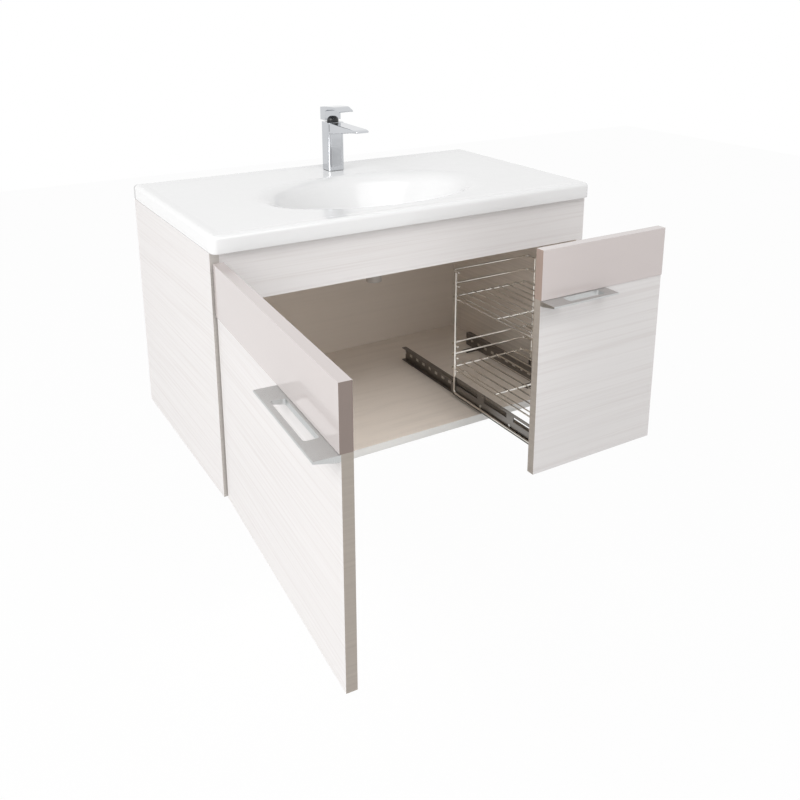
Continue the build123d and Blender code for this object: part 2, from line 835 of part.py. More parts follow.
with BuildPart() as hinge_cups:
    with BuildSketch(placed(door_frame, Plane.XZ.offset(-band_thickness))):
        with Locations(*cup_places):
            Circle(cup_radius - dowel_clearance)
            Circle(cup_radius - dowel_clearance - cup_wall, mode=Mode.SUBTRACT)
    extrude(amount=cup_depth)
    with BuildSketch(placed(door_frame, Plane.XZ.offset(-band_thickness + cup_depth))):
        with Locations(*cup_places):
            Circle(cup_radius - dowel_clearance)
    extrude(amount=-cup_floor)
    with BuildSketch(placed(door_frame, Plane.XZ.offset(-band_thickness))):
        with Locations(*cup_places):
            SlotOverall(cup_screw_spread + cup_flange_width, cup_flange_width, rotation=upright)
        with Locations(*cup_places):
            Circle(cup_radius + cup_wall)
        with Locations(*cup_places):
            Circle(cup_radius - dowel_clearance - cup_wall, mode=Mode.SUBTRACT)
        with Locations(*cup_screw_places):
            Circle(hinge_screw_radius + hinge_screw_clearance, mode=Mode.SUBTRACT)
    extrude(amount=-cup_flange_thickness)
    for level in hinge_levels:
        with BuildSketch(placed(door_frame, Plane.XY.offset(level - cup_pin_length / 2))):
            with Locations((hinge_inset, hinge_depth)):
                Circle(cup_pin_radius)
        extrude(amount=cup_pin_length)

with BuildPart() as hinge_plates:
    with BuildSketch(Plane.YZ.offset(-inner_half)):
        with Locations(*[(plate_middle, level) for level in hinge_levels]):
            Rectangle(arm_plate_depth / 2, arm_plate_height)
            Rectangle(arm_plate_depth, arm_height)
        with Locations(*plate_screw_places):
            Circle(hinge_screw_radius + hinge_screw_clearance, mode=Mode.SUBTRACT)
    extrude(amount=arm_plate_thickness)

with BuildPart() as hinge_arms:
    for level in hinge_levels:
        with BuildSketch(Plane.XY.offset(level - arm_height / 2)):
            with BuildLine():
                Polyline(
                    (-inner_half + arm_plate_thickness, carcass_front + arm_length),
                    (-inner_half + arm_plate_thickness, carcass_front + arm_plate_setback),
                    (-inner_half + arm_inset - arm_width / 2, carcass_front),
                    (-inner_half + arm_inset - arm_width / 2, pivot_y + arm_bar / 2),
                    (pivot_x, pivot_y + arm_bar / 2),
                    (pivot_x, pivot_y - arm_bar / 2),
                    (-inner_half + arm_inset + arm_width / 2, pivot_y - arm_bar / 2),
                    (-inner_half + arm_inset + arm_width / 2, carcass_front + arm_plate_setback),
                    (-inner_half + arm_plate_thickness + arm_width, carcass_front + arm_length),
                    close=True,
                )
            make_face()
            with Locations((pivot_x, pivot_y)):
                Circle(arm_eye_radius)
                Circle(cup_pin_radius + pin_clearance, mode=Mode.SUBTRACT)
        extrude(amount=arm_height)

with BuildPart() as hinge_screws:
    with BuildSketch(Plane.YZ.offset(-inner_half - hinge_screw_in)):
        with Locations(*plate_screw_places):
            Circle(hinge_screw_radius)
    extrude(amount=hinge_screw_in + arm_plate_thickness)
    with BuildSketch(Plane.YZ.offset(-inner_half + arm_plate_thickness)):
        with Locations(*plate_screw_places):
            Circle(hinge_screw_head_radius)
    extrude(amount=hinge_screw_head_height)

with BuildPart() as cup_screws:
    with BuildSketch(placed(door_frame, Plane.XZ.offset(-band_thickness + hinge_screw_in))):
        with Locations(*cup_screw_places):
            Circle(hinge_screw_radius)
    extrude(amount=-(hinge_screw_in + cup_flange_thickness))
    with BuildSketch(placed(door_frame, Plane.XZ.offset(-band_thickness - cup_flange_thickness))):
        with Locations(*cup_screw_places):
            Circle(hinge_screw_head_radius)
    extrude(amount=-hinge_screw_head_height)

with BuildPart() as side_panel_left_bored:
    add(side_panel_left.part)
    with BuildSketch(Plane.YZ.offset(-inner_half)):
        with Locations(*plate_screw_places):
            Circle(hinge_screw_radius + dowel_clearance)
    extrude(amount=-(hinge_screw_in + dowel_end_gap), mode=Mode.SUBTRACT)

# Slides of the pull-out: three nested channels a side, mirrored about the drawer's middle

slide_front = carcass_front + slide_setback
slide_low = floor_top + foot_thickness
slide_level = slide_low + slide_height / 2
middle_height = slide_height - 2 * (slide_sheet + slide_gap)
inner_height = middle_height - 2 * (slide_sheet + slide_gap)
middle_web = slide_web + slide_sheet + slide_gap
inner_face = slide_web + outer_depth + slide_gap + slide_sheet
inner_edge = middle_web + slide_sheet + inner_flange_gap
member_length = slide_length - member_shortfall
foot_places = [slide_front + slide_length * share for share in foot_shares]
foot_middle = slide_web - foot_reach / 2


def channel(side, near, far, height, open_far, front, length):
    """A U channel along y; near and far are its distances from the drawer's middle."""
    web = near if open_far else far
    turn = 1 if open_far else -1
    middle = (near + far) / 2
    with BuildPart() as piece:
        with BuildSketch(Plane.XZ.offset(-front)):
            with Locations((basket_middle + side * middle, slide_level)):
                Rectangle(far - near, height)
            with Locations((basket_middle + side * (middle + turn * slide_sheet), slide_level)):
                Rectangle(far - near, height - 2 * slide_sheet, mode=Mode.SUBTRACT)
        extrude(amount=-length)
        with BuildSketch(Plane.YZ.offset(basket_middle + side * (web - turn * overrun))):
            with Locations(*[(front + length * share, slide_level) for share in hole_shares]):
                Circle(hole_radius)
        extrude(amount=side * turn * (slide_sheet + 2 * overrun), mode=Mode.SUBTRACT)
    return piece


def outer_member(side):
    return channel(side, slide_web, slide_web + outer_depth, slide_height, True, slide_front, slide_length)


def middle_member(side):
    return channel(side, middle_web, middle_web + middle_depth, middle_height, True,
                   slide_front - drawer_out / 2, member_length)


def inner_member(side):
    return channel(side, inner_edge, inner_face, inner_height, False,
                   slide_front - drawer_out, member_length)


slide_outer_left = outer_member(-1)
slide_outer_right = outer_member(1)
slide_middle_left = middle_member(-1)
slide_middle_right = middle_member(1)
slide_inner_left = inner_member(-1)
slide_inner_right = inner_member(1)

foot_screw_places = [
    (basket_middle + side * foot_middle, y) for side in (-1, 1) for y in foot_places
]

with BuildPart() as slide_feet:
    with BuildSketch(Plane.XY.offset(floor_top)):
        for side in (-1, 1):
            with Locations(*[(basket_middle + side * (slide_web + outer_depth - foot_reach), y)
                             for y in foot_places]):
                Rectangle(2 * foot_reach, foot_length)
        with Locations(*foot_screw_places):
            Circle(foot_screw_radius + hinge_screw_clearance, mode=Mode.SUBTRACT)
    extrude(amount=foot_thickness)
    with BuildSketch(Plane.XY.offset(floor_top + foot_thickness)):
        for side in (-1, 1):
            with Locations(*[(basket_middle + side * (slide_web - foot_thickness / 2), y)
                             for y in foot_places]):
                Rectangle(foot_thickness, foot_length)
    extrude(amount=foot_rise)

with BuildPart() as slide_feet_screws:
    with BuildSketch(Plane.XY.offset(floor_top - foot_screw_in)):
        with Locations(*foot_screw_places):
            Circle(foot_screw_radius)
    extrude(amount=foot_screw_in + foot_thickness)
    with BuildSketch(Plane.XY.offset(floor_top + foot_thickness)):
        with Locations(*foot_screw_places):
            Circle(foot_screw_head_radius)
    extrude(amount=foot_screw_head_height)

with BuildPart() as floor_panel_bored:
    add(floor_panel.part)
    with BuildSketch(Plane.XY.offset(floor_top)):
        with Locations(*foot_screw_places):
            Circle(foot_screw_radius + dowel_clearance)
    extrude(amount=-(foot_screw_in + dowel_end_gap), mode=Mode.SUBTRACT)

# Carriages: pressed plates on the inner members that carry the wire frame on a lip

panel_rear = drawer_face + band_thickness
frame_bottom = underside + frame_clear
frame_top = carcass_top - front_rail_height - frame_drop
frame_rear = carcass_front + frame_inset
carriage_top = frame_bottom + carriage_rise
carriage_low = frame_bottom - frame_wire_radius
carriage_length = frame_rear + frame_wire_radius - panel_rear
window_pitch = carriage_window + carriage_strap
window_places = [
    panel_rear + carriage_strap + carriage_window / 2 + index * window_pitch
    for index in range(carriage_window_count)
]
window_low = slide_level + inner_height / 2
window_height = carriage_top - carriage_edge - window_low
rivet_places = [(y + window_pitch / 2, slide_level) for y in window_places[:-1]]


def carriage(side):
    """A plate with windows over the inner member and a lip under the frame's bottom wire."""
    with BuildPart() as piece:
        with BuildSketch(Plane.YZ.offset(basket_middle + side * inner_face)):
            with Locations((panel_rear + carriage_length / 2, (carriage_top + carriage_low) / 2)):
                Rectangle(carriage_length, carriage_top - carriage_low)
            with Locations(*[(y, window_low + window_height / 2) for y in window_places]):
                Rectangle(carriage_window, window_height, mode=Mode.SUBTRACT)
            with Locations(*rivet_places):
                Circle(rivet_radius + dowel_clearance, mode=Mode.SUBTRACT)
        extrude(amount=side * carriage_sheet)
        with BuildSketch(Plane.YZ.offset(basket_middle + side * inner_face)):
            with Locations((panel_rear + carriage_length / 2, carriage_low - carriage_sheet / 2)):
                Rectangle(carriage_length, carriage_sheet)
        extrude(amount=side * carriage_lip_width)
    return piece


carriage_left = carriage(-1)
carriage_right = carriage(1)

with BuildPart() as carriage_rivets:
    for side in (-1, 1):
        with BuildSketch(Plane.YZ.offset(basket_middle + side * (inner_face - slide_sheet))):
            with Locations(*rivet_places):
                Circle(rivet_radius)
        extrude(amount=side * (slide_sheet + carriage_sheet))
        with BuildSketch(Plane.YZ.offset(basket_middle + side * (inner_face + carriage_sheet))):
            with Locations(*rivet_places):
                Circle(rivet_head_radius)
        extrude(amount=side * rivet_head_height)


def riveted(member, side):
    """An inner member with the holes for the carriage rivets."""
    with BuildPart() as piece:
        add(member.part)
        with BuildSketch(Plane.YZ.offset(basket_middle + side * (inner_face - slide_sheet))):
            with Locations(*rivet_places):
                Circle(rivet_radius + dowel_clearance)
        extrude(amount=side * slide_sheet, mode=Mode.SUBTRACT)
    return piece


slide_inner_left = riveted(slide_inner_left, -1)
slide_inner_right = riveted(slide_inner_right, 1)

# Wire frame and its two tiers
wire_turn = half_turn / wire_sides

frame_front = panel_rear + frame_wire_radius
tier_spread = wire_spread - frame_wire_radius - tier_wire_radius
tier_rear = frame_rear + guard_reach
tier_front = frame_front + guard_return
tier_middle = (tier_rear + tier_front) / 2


def wire_run(plane, points, radius):
    """An open run of round wire through points of the plane, with bent corners."""
    with BuildPart() as piece:
        with BuildLine(plane) as path:
            FilletPolyline(*points, radius=wire_bend)
        with BuildSketch(Plane(origin=path.line @ 0, x_dir=plane.z_dir, z_dir=path.line % 0)):
            RegularPolygon(radius, wire_sides, major_radius=False, rotation=wire_turn)
        sweep()
    return piece


with BuildPart() as side_frames:
    for side in (-1, 1):
        add(wire_run(
            Plane.YZ.offset(basket_middle + side * wire_spread),
            ((frame_rear, frame_top), (frame_rear, frame_bottom),
             (frame_front, frame_bottom), (frame_front, frame_top)),
            frame_wire_radius,
        ).part)


def tier(levels):
    """A basket: guard rails round the rear and, on the lowest rail, a floor of wires on cross bars."""
    low = min(levels)
    floor_level = low + tier_wire_radius + floor_wire_radius - weld
    with BuildPart() as piece:
        for level in levels:
            reach = panel_rear if level == low else frame_rear - guard_return
            add(wire_run(
                Plane(origin=(basket_middle, 0, level)),
                ((-tier_spread, reach), (-tier_spread, tier_rear),
                 (tier_spread, tier_rear), (tier_spread, reach)),
                tier_wire_radius,
            ).part)
        with BuildSketch(Plane.YZ.offset(basket_middle - tier_spread)):
            with Locations((tier_front, low), (tier_middle, low)):
                RegularPolygon(tier_wire_radius, wire_sides, major_radius=False, rotation=wire_turn)
        extrude(amount=2 * tier_spread)
        with BuildSketch(Plane.XZ.offset(-tier_front + tier_wire_radius)):
            with Locations(*[
                (basket_middle + (index - (floor_wire_count - 1) / 2) * floor_wire_pitch, floor_level)
                for index in range(floor_wire_count)
            ]):
                RegularPolygon(floor_wire_radius, wire_sides, major_radius=False, rotation=wire_turn)
        extrude(amount=-(tier_rear - tier_front + 2 * tier_wire_radius))
    return piece


upper_basket = tier([frame_top - drop for drop in upper_rail_drops])
lower_basket = tier([frame_bottom + rise for rise in lower_rail_rises])

# Saddles that hold the frame's front wires to the drawer front, and closing buffers
saddle_bore = frame_wire_radius / cos(radians(wire_turn)) + dowel_clearance

saddle_levels = (frame_top - saddle_drop, frame_bottom + saddle_rise)
saddle_places = [
    (wire_side * wire_spread, level) for wire_side in (-1, 1) for level in saddle_levels
]
saddle_screws = [
    (x + side * saddle_screw_spread / 2, level) for x, level in saddle_places for side in (-1, 1)
]
saddle_plane = Plane.XZ.offset(-panel_rear)
buffer_levels = (floor_top - board / 2, carcass_top - front_rail_height / 2)

with BuildPart() as frame_saddles:
    with BuildSketch(saddle_plane):
        with Locations(*[(basket_middle + x, level) for x, level in saddle_places]):
            Rectangle(saddle_width, saddle_height)
        with Locations(*[(basket_middle + x, level) for x, level in saddle_screws]):
            Circle(saddle_screw_radius + hinge_screw_clearance, mode=Mode.SUBTRACT)
    extrude(amount=-saddle_depth)
    with BuildSketch(Plane.XY.offset(frame_bottom)):
        for wire_side in (-1, 1):
            with Locations((basket_middle + wire_side * wire_spread, frame_front)):
                Circle(saddle_bore)
            with Locations((basket_middle + wire_side * wire_spread, panel_rear)):
                Rectangle(2 * saddle_bore, 2 * saddle_bore)
    extrude(amount=frame_top - frame_bottom, mode=Mode.SUBTRACT)

with BuildPart() as saddle_screws_part:
    with BuildSketch(saddle_plane):
        with Locations(*[(basket_middle + x, level) for x, level in saddle_screws]):
            Circle(saddle_screw_radius)
    extrude(amount=-saddle_depth)
    with BuildSketch(saddle_plane):
        with Locations(*[(basket_middle + x, level) for x, level in saddle_screws]):
            Circle(saddle_screw_radius)
    extrude(amount=saddle_screw_in)
    with BuildSketch(Plane.XZ.offset(-panel_rear - saddle_depth)):
        with Locations(*[(basket_middle + x, level) for x, level in saddle_screws]):
            Circle(saddle_screw_head_radius)
    extrude(amount=-saddle_screw_head_height)

with BuildPart() as drawer_panel_bored:
    add(drawer_panel.part)
    with BuildSketch(saddle_plane):
        with Locations(*[(basket_middle + x, level) for x, level in saddle_screws]):
            Circle(saddle_screw_radius + dowel_clearance)
    extrude(amount=saddle_screw_in + dowel_end_gap, mode=Mode.SUBTRACT)


def buffers(frame, places):
    """Soft discs on the inner face of a front."""
    with BuildPart() as piece:
        with BuildSketch(placed(frame, Plane.XZ.offset(-band_thickness))):
            with Locations(*places):
                Circle(buffer_radius)
        extrude(amount=-buffer_thickness)
    return piece


door_buffers = buffers(door_frame, [(door_width - buffer_inset, level) for level in buffer_levels])
drawer_buffers = buffers(drawer_frame, [
    (x, level) for x in (buffer_inset, drawer_width - buffer_inset - board) for level in buffer_levels
])

nodes = {
    "side_panel_left": side_panel_left_bored,
    "side_panel_right": side_panel_right,
    "floor_panel": floor_panel_bored,
    "front_rail": front_rail,
    "hanging_rail": hanging_rail,
    "back_panel": back_panel,
    "carcass_dowels": carcass_dowels,
    "basin": basin,
    "waste_flange": waste_flange,
    "waste_seal": waste_seal,
    "waste_nut": waste_nut,
    "waste_tail": waste_tail,
    "waste_plug": waste_plug,
    "tap_body": tap_body,
    "tap_base_seal": tap_base_seal,
    "tap_stud": tap_stud,
    "tap_clamp_plate": tap_clamp_plate,
    "tap_nut": tap_nut,
    "tap_aerator": tap_aerator,
    "cartridge": cartridge,
    "cartridge_gland": cartridge_gland,
    "cartridge_neck": cartridge_neck,
    "lever_stem": lever_stem,
    "tap_lever": tap_lever,
    "lever_screw": lever_screw,
    "door_panel": door_panel_bored,
    "door_band": door_band,
    "door_dowels": door_dowels,
    "door_handle": door_handle,
    "door_handle_screws": door_handle_screws,
    "door_buffers": door_buffers,
    "hinge_cups": hinge_cups,
    "cup_screws": cup_screws,
    "hinge_arms": hinge_arms,
    "hinge_plates": hinge_plates,
    "hinge_screws": hinge_screws,
    "drawer_panel": drawer_panel_bored,
    "drawer_band": drawer_band,
    "drawer_dowels": drawer_dowels,
    "drawer_handle": drawer_handle,
    "drawer_handle_screws": drawer_handle_screws,
    "drawer_buffers": drawer_buffers,
    "side_frames": side_frames,
    "upper_basket": upper_basket,
    "lower_basket": lower_basket,
    "frame_saddles": frame_saddles,
    "saddle_screws": saddle_screws_part,
    "slide_outer_left": slide_outer_left,
    "slide_outer_right": slide_outer_right,
    "slide_middle_left": slide_middle_left,
    "slide_middle_right": slide_middle_right,
    "slide_inner_left": slide_inner_left,
    "slide_inner_right": slide_inner_right,
    "carriage_left": carriage_left,
    "carriage_right": carriage_right,
    "carriage_rivets": carriage_rivets,
    "slide_feet": slide_feet,
    "slide_feet_screws": slide_feet_screws,
}
for label, piece in nodes.items():
    piece.part.label = label
    export_step(piece.part, "parts/" + label + ".step")
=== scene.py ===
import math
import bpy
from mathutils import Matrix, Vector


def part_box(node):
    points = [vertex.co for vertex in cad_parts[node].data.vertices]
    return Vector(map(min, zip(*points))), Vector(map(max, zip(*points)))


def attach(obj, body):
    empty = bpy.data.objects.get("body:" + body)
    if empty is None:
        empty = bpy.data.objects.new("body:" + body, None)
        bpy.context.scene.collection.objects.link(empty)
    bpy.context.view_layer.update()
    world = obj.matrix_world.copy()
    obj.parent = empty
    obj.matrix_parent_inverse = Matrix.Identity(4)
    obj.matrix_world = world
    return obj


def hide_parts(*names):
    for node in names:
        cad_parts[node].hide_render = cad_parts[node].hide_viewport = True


bl_info = {
    "name": "Vanity unit looks",
    "version": (1, 0, 0),
    "blender": (4, 5, 0),
    "location": "3D View > Sidebar > Vanity",
    "description": "Dresses the vanity unit with materials, soft-edged visual pieces, light and a camera",
    "category": "Object",
}

import bmesh
import bpy
from bpy.props import FloatProperty, FloatVectorProperty, IntProperty, PointerProperty
from mathutils import Matrix, Vector

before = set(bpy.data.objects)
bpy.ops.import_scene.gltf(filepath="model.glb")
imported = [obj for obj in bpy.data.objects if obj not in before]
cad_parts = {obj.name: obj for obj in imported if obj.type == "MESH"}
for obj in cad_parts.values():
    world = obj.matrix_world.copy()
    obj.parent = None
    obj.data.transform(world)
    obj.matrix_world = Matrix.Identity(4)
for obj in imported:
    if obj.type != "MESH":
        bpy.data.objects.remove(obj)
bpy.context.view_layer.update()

# Lengths in the code are millimetres; the properties and the meshes are in metres
MM = 0.001

ALONG_X = (1.0, 0.0, 0.0)
ALONG_Y = (0.0, 1.0, 0.0)
ALONG_Z = (0.0, 0.0, 1.0)
AGAINST_X = (-1.0, 0.0, 0.0)
AGAINST_Y = (0.0, -1.0, 0.0)

# Grain of the boards and metals, in cycles per metre along x, y and z, or as shares of one scale
FRONT_GRAIN = (2.2, 2.2, 210.0)
FLOOR_GRAIN = (5.0, 60.0, 60.0)
BACK_GRAIN = (2.2, 2.2, 120.0)
RUNNER_GRAIN = (1.0, 0.15, 1.0)
HANDLE_GRAIN = (1.0, 1.0, 0.1)

# Edge roundings of the pieces that keep the CAD form, in metres
SHEET_ROUND = 0.2 * MM
METAL_ROUND = 0.3 * MM
TUBE_ROUND = 0.4 * MM
PART_ROUND = 0.5 * MM
SOFT_ROUND = 0.6 * MM
HANDLE_ROUND = 1.0 * MM

# Colours of the small pieces
RAW_BEECH = (0.66, 0.47, 0.28)
SCREW_STEEL = (0.55, 0.54, 0.52)
HINGE_NICKEL = (0.60, 0.58, 0.54)
THREAD_BRASS = (0.60, 0.43, 0.18)
# Painted highlight: the glints of the runners' balls through their slots
SLOT_PAINTED_GLINT = (0.62, 0.59, 0.55)
SEAL_BLACK = (0.05, 0.05, 0.05)
# Painted shade: the near-black of the tap's neck and dome stands for the shadow and dark reflections under
# the lever
NECK_PAINTED_SHADE = (0.012, 0.012, 0.014)
CARTRIDGE_GREY = (0.16, 0.16, 0.17)
BUFFER_GREY = (0.70, 0.70, 0.70)
SADDLE_WHITE = (0.72, 0.72, 0.72)
# Painted shade: the waste tail's white plastic, darkened and warmed to the shaded inside of the cabinet
PIPE_PAINTED_SHADE = (0.50, 0.46, 0.42)
WHITE = (1.0, 1.0, 1.0, 1.0)


# Node building

def new_material(name):
    material = bpy.data.materials.new(name)
    material.use_nodes = True
    tree = material.node_tree
    return material, tree, tree.nodes["Principled BSDF"]


def node(tree, kind, inputs=None, **settings):
    made = tree.nodes.new(kind)
    for key, value in settings.items():
        setattr(made, key, value)
    for key, value in (inputs or {}).items():
        made.inputs[key].default_value = value
    return made


def maths(tree, operation, first, second=None):
    """One step of arithmetic; each side is a socket or a plain number."""
    made = node(tree, "ShaderNodeMath", operation=operation)
    for place, value in enumerate((first, second)):
        if isinstance(value, bpy.types.NodeSocket):
            tree.links.new(value, made.inputs[place])
        elif value is not None:
            made.inputs[place].default_value = value
    return made.outputs[0]


def stretched(tree, scale):
    """Object coordinates, stretched so that a noise runs along the board."""
    coordinates = node(tree, "ShaderNodeTexCoord")
    mapping = node(tree, "ShaderNodeMapping", {"Scale": scale})
    tree.links.new(coordinates.outputs["Object"], mapping.inputs["Vector"])
    return mapping.outputs["Vector"]


def evenly(scale):
    return (scale, scale, scale)


def noise(tree, scale, detail=4.0, roughness=0.5):
    made = node(tree, "ShaderNodeTexNoise", {"Scale": 1.0, "Detail": detail, "Roughness": roughness})
    tree.links.new(stretched(tree, scale), made.inputs["Vector"])
    return made.outputs["Fac"]


def ramp(tree, factor, stops):
    made = node(tree, "ShaderNodeValToRGB")
    elements = made.color_ramp.elements
    while len(elements) < len(stops):
        elements.new(0.5)
    for element, (place, colour) in zip(elements, stops):
        element.position = place
        element.color = (*colour, 1.0)
    tree.links.new(factor, made.inputs["Fac"])
    return made.outputs["Color"]


def clouded(tree, factor, colour, dark, low=0.3, high=0.7):
    """The colour, down to its darker share where the factor is low."""
    return ramp(tree, factor, [(low, shade(colour, dark)), (high, colour)])


def spread(tree, factor, low, high, source=(0.3, 0.7)):
    made = node(tree, "ShaderNodeMapRange",
                {"From Min": source[0], "From Max": source[1], "To Min": low, "To Max": high})
    tree.links.new(factor, made.inputs["Value"])
    return made.outputs["Result"]


def bump(tree, shader, height, strength, distance):
    made = node(tree, "ShaderNodeBump", {"Strength": strength, "Distance": distance})
    tree.links.new(height, made.inputs["Height"])
    tree.links.new(made.outputs["Normal"], shader.inputs["Normal"])


def mix(tree, factor, first, second):
    """The first colour at a factor of 0 and the second at 1, in the node's sockets for colours."""
    made = node(tree, "ShaderNodeMix", data_type="RGBA")
    for socket, value in ((0, factor), (6, first), (7, second)):
        if isinstance(value, bpy.types.NodeSocket):
            tree.links.new(value, made.inputs[socket])
        else:
            made.inputs[socket].default_value = value
    return made.outputs[2]


def shade(colour, factor):
    return tuple(channel * factor for channel in colour)


def facing(tree, direction, both_ways=False):
    """1 on faces that look in a direction of the object, and 0 on the others."""
    coordinates = node(tree, "ShaderNodeTexCoord")
    dot = node(tree, "ShaderNodeVectorMath", {1: direction}, operation="DOT_PRODUCT")
    tree.links.new(coordinates.outputs["Normal"], dot.inputs[0])
    size = dot.outputs["Value"]
    if both_ways:
        size = maths(tree, "ABSOLUTE", size)
    return spread(tree, size, 0.0, 1.0, (0.45, 0.75))


def edging(tree, face_axis):
    """1 on the upright edges of a board whose faces look along face_axis."""
    most = maths(tree, "MAXIMUM", facing(tree, face_axis, True), facing(tree, ALONG_Z, True))
    return spread(tree, most, 1.0, 0.0, (0.0, 1.0))


# Finishes

def grained(name, colour, streak, scale, roughness=0.42, relief=0.1, edge=None, shaded_inner_face=None):
    """Laminate with fine streaks over a pale ground, with an edge strip and an inner face in other
    colours; the strip is glued on the fronts and the floor but is painted shade on the left side panel,
    and the warm inner face is painted shade.
    """
    material, tree, shader = new_material(name)
    fine = noise(tree, scale, 7.0, 0.62)
    broad = noise(tree, shade(scale, 0.16), 3.0)
    ground = clouded(tree, broad, colour, 0.97)
    streaks = ramp(tree, fine, [(0.34, streak), (0.52, shade(colour, 0.98)), (0.66, colour)])
    surface = mix(tree, 0.5, ground, streaks)
    if edge:
        face_axis, strip = edge
        surface = mix(tree, edging(tree, face_axis), surface, clouded(tree, fine, strip, 0.9, 0.35, 0.65))
    # Painted shade: the inner face takes the warm inside tint
    if shaded_inner_face:
        direction, inner = shaded_inner_face
        surface = mix(tree, facing(tree, direction), surface, clouded(tree, fine, inner, 0.86, 0.35, 0.65))
    tree.links.new(surface, shader.inputs["Base Color"])
    tree.links.new(spread(tree, fine, roughness + 0.07, roughness - 0.04), shader.inputs["Roughness"])
    bump(tree, shader, fine, relief, 0.2 * MM)
    return material


def lacquered(name, colour, edge, roughness=0.16, coat=0.6):
    """Smooth board with a faint cloudiness under the gloss, and its darker edge strip."""
    material, tree, shader = new_material(name)
    cloud = noise(tree, (4.0, 4.0, 14.0))
    peel = noise(tree, evenly(160.0), 2.0)
    face_axis, strip = edge
    clear = clouded(tree, cloud, colour, 0.97)
    dark = clouded(tree, cloud, strip, 0.92)
    tree.links.new(mix(tree, edging(tree, face_axis), clear, dark), shader.inputs["Base Color"])
    tree.links.new(spread(tree, cloud, roughness + 0.04, roughness), shader.inputs["Roughness"])
    shader.inputs["Coat Weight"].default_value = coat
    shader.inputs["Coat Roughness"].default_value = 0.06
    bump(tree, shader, peel, 0.08, 0.2 * MM)
    return material


def glazed(name, colour):
    """White glaze with faint cloudiness and a slow ripple."""
    material, tree, shader = new_material(name)
    cloud = noise(tree, evenly(6.0), 3.0)
    ripple = noise(tree, evenly(40.0), 2.0, 0.4)
    tree.links.new(clouded(tree, cloud, colour, 0.985), shader.inputs["Base Color"])
    tree.links.new(spread(tree, ripple, 0.17, 0.11), shader.inputs["Roughness"])
    shader.inputs["Coat Weight"].default_value = 0.3
    shader.inputs["Coat Roughness"].default_value = 0.07
    bump(tree, shader, ripple, 0.05, 0.6 * MM)
    return material


def metal(name, colour, roughness, scale, relief, streaky=(1.0, 1.0, 1.0)):
    """Plated or polished metal with hazy and clear patches and fine marks."""
    material, tree, shader = new_material(name)
    haze = noise(tree, shade(streaky, scale), 6.0, 0.6)
    broad = noise(tree, evenly(9.0), 2.0)
    tree.links.new(clouded(tree, broad, colour, 0.9, 0.25, 0.75), shader.inputs["Base Color"])
    tree.links.new(spread(tree, haze, roughness * 0.7, roughness * 1.4), shader.inputs["Roughness"])
    shader.inputs["Metallic"].default_value = 1.0
    bump(tree, shader, haze, relief, 0.1 * MM)
    return material


def steel_of(name):
    return metal(name, SCREW_STEEL, roughness=0.3, scale=300.0, relief=0.2)


def runner_plating(name, colour):
    return metal(name, colour, roughness=0.34, scale=70.0, relief=0.15, streaky=RUNNER_GRAIN)


def slot_glints(name, colour, level):
    """Dull plating with a row of painted highlights along y, at one level of the member's web, for the
    balls that glint through its slots.
    """
    pitch = 27.0 * MM
    length_share = 0.38
    half_height = 3.2 * MM
    material = runner_plating(name, colour)
    tree = material.node_tree
    shader = tree.nodes["Principled BSDF"]
    split = node(tree, "ShaderNodeSeparateXYZ")
    tree.links.new(node(tree, "ShaderNodeTexCoord").outputs["Object"], split.inputs[0])
    step = maths(tree, "FRACT", maths(tree, "DIVIDE", split.outputs["Y"], pitch))
    within = maths(tree, "LESS_THAN", step, length_share)
    away = maths(tree, "ABSOLUTE", maths(tree, "SUBTRACT", split.outputs["Z"], level))
    near = maths(tree, "LESS_THAN", away, half_height)
    # Painted highlight where the balls glint through the member's slots
    glint_mask = maths(tree, "MULTIPLY", maths(tree, "MULTIPLY", within, near), facing(tree, ALONG_X, True))
    plain = shader.inputs["Base Color"].links[0].from_socket
    tree.links.new(mix(tree, glint_mask, plain, (*SLOT_PAINTED_GLINT, 1.0)), shader.inputs["Base Color"])
    return material


def moulded(name, colour, roughness):
    """Moulded plastic or rubber with a fine texture."""
    material, tree, shader = new_material(name)
    grain = noise(tree, evenly(700.0), 2.0)
    cloud = noise(tree, evenly(20.0), 3.0)
    tree.links.new(clouded(tree, cloud, colour, 0.9), shader.inputs["Base Color"])
    tree.links.new(spread(tree, grain, roughness - 0.05, roughness + 0.08), shader.inputs["Roughness"])
    bump(tree, shader, grain, 0.2, 0.2 * MM)
    return material


def timber(name, colour):
    """Raw turned wood with rings of darker grain."""
    material, tree, shader = new_material(name)
    grain = noise(tree, (60.0, 400.0, 400.0), 5.0, 0.6)
    tree.links.new(clouded(tree, grain, colour, 0.7, 0.35, 0.6), shader.inputs["Base Color"])
    tree.links.new(spread(tree, grain, 0.8, 0.6), shader.inputs["Roughness"])
    bump(tree, shader, grain, 0.3, 0.2 * MM)
    return material


# Pieces

def box_mm(name):
    """The low and the high corner of a CAD node at rest."""
    low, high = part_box(name)
    return low / MM, high / MM


def add_object(name, data):
    made = bpy.data.objects.new(name, data)
    bpy.context.scene.collection.objects.link(made)
    return made


def bevel_edges(piece, width, segments, angle):
    rounding = piece.modifiers.new("edges", "BEVEL")
    rounding.width = width
    rounding.segments = segments
    rounding.limit_method = "ANGLE"
    rounding.angle_limit = math.radians(angle)
    return rounding


def dress(name, material, width=0.0, segments=2):
    """Gives a CAD node its material and, where a width is given, a fine edge rounding."""
    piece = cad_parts[name]
    piece.data.materials.clear()
    piece.data.materials.append(material)
    if width:
        bevel_edges(piece, width, segments, 35.0).harden_normals = True


def soften(piece, width):
    """Rounds a piece's sharp edges and keeps its flat faces flat in the light."""
    bevel_edges(piece, width, 4, 28.0)
    piece.modifiers.new("normals", "WEIGHTED_NORMAL").keep_sharp = True


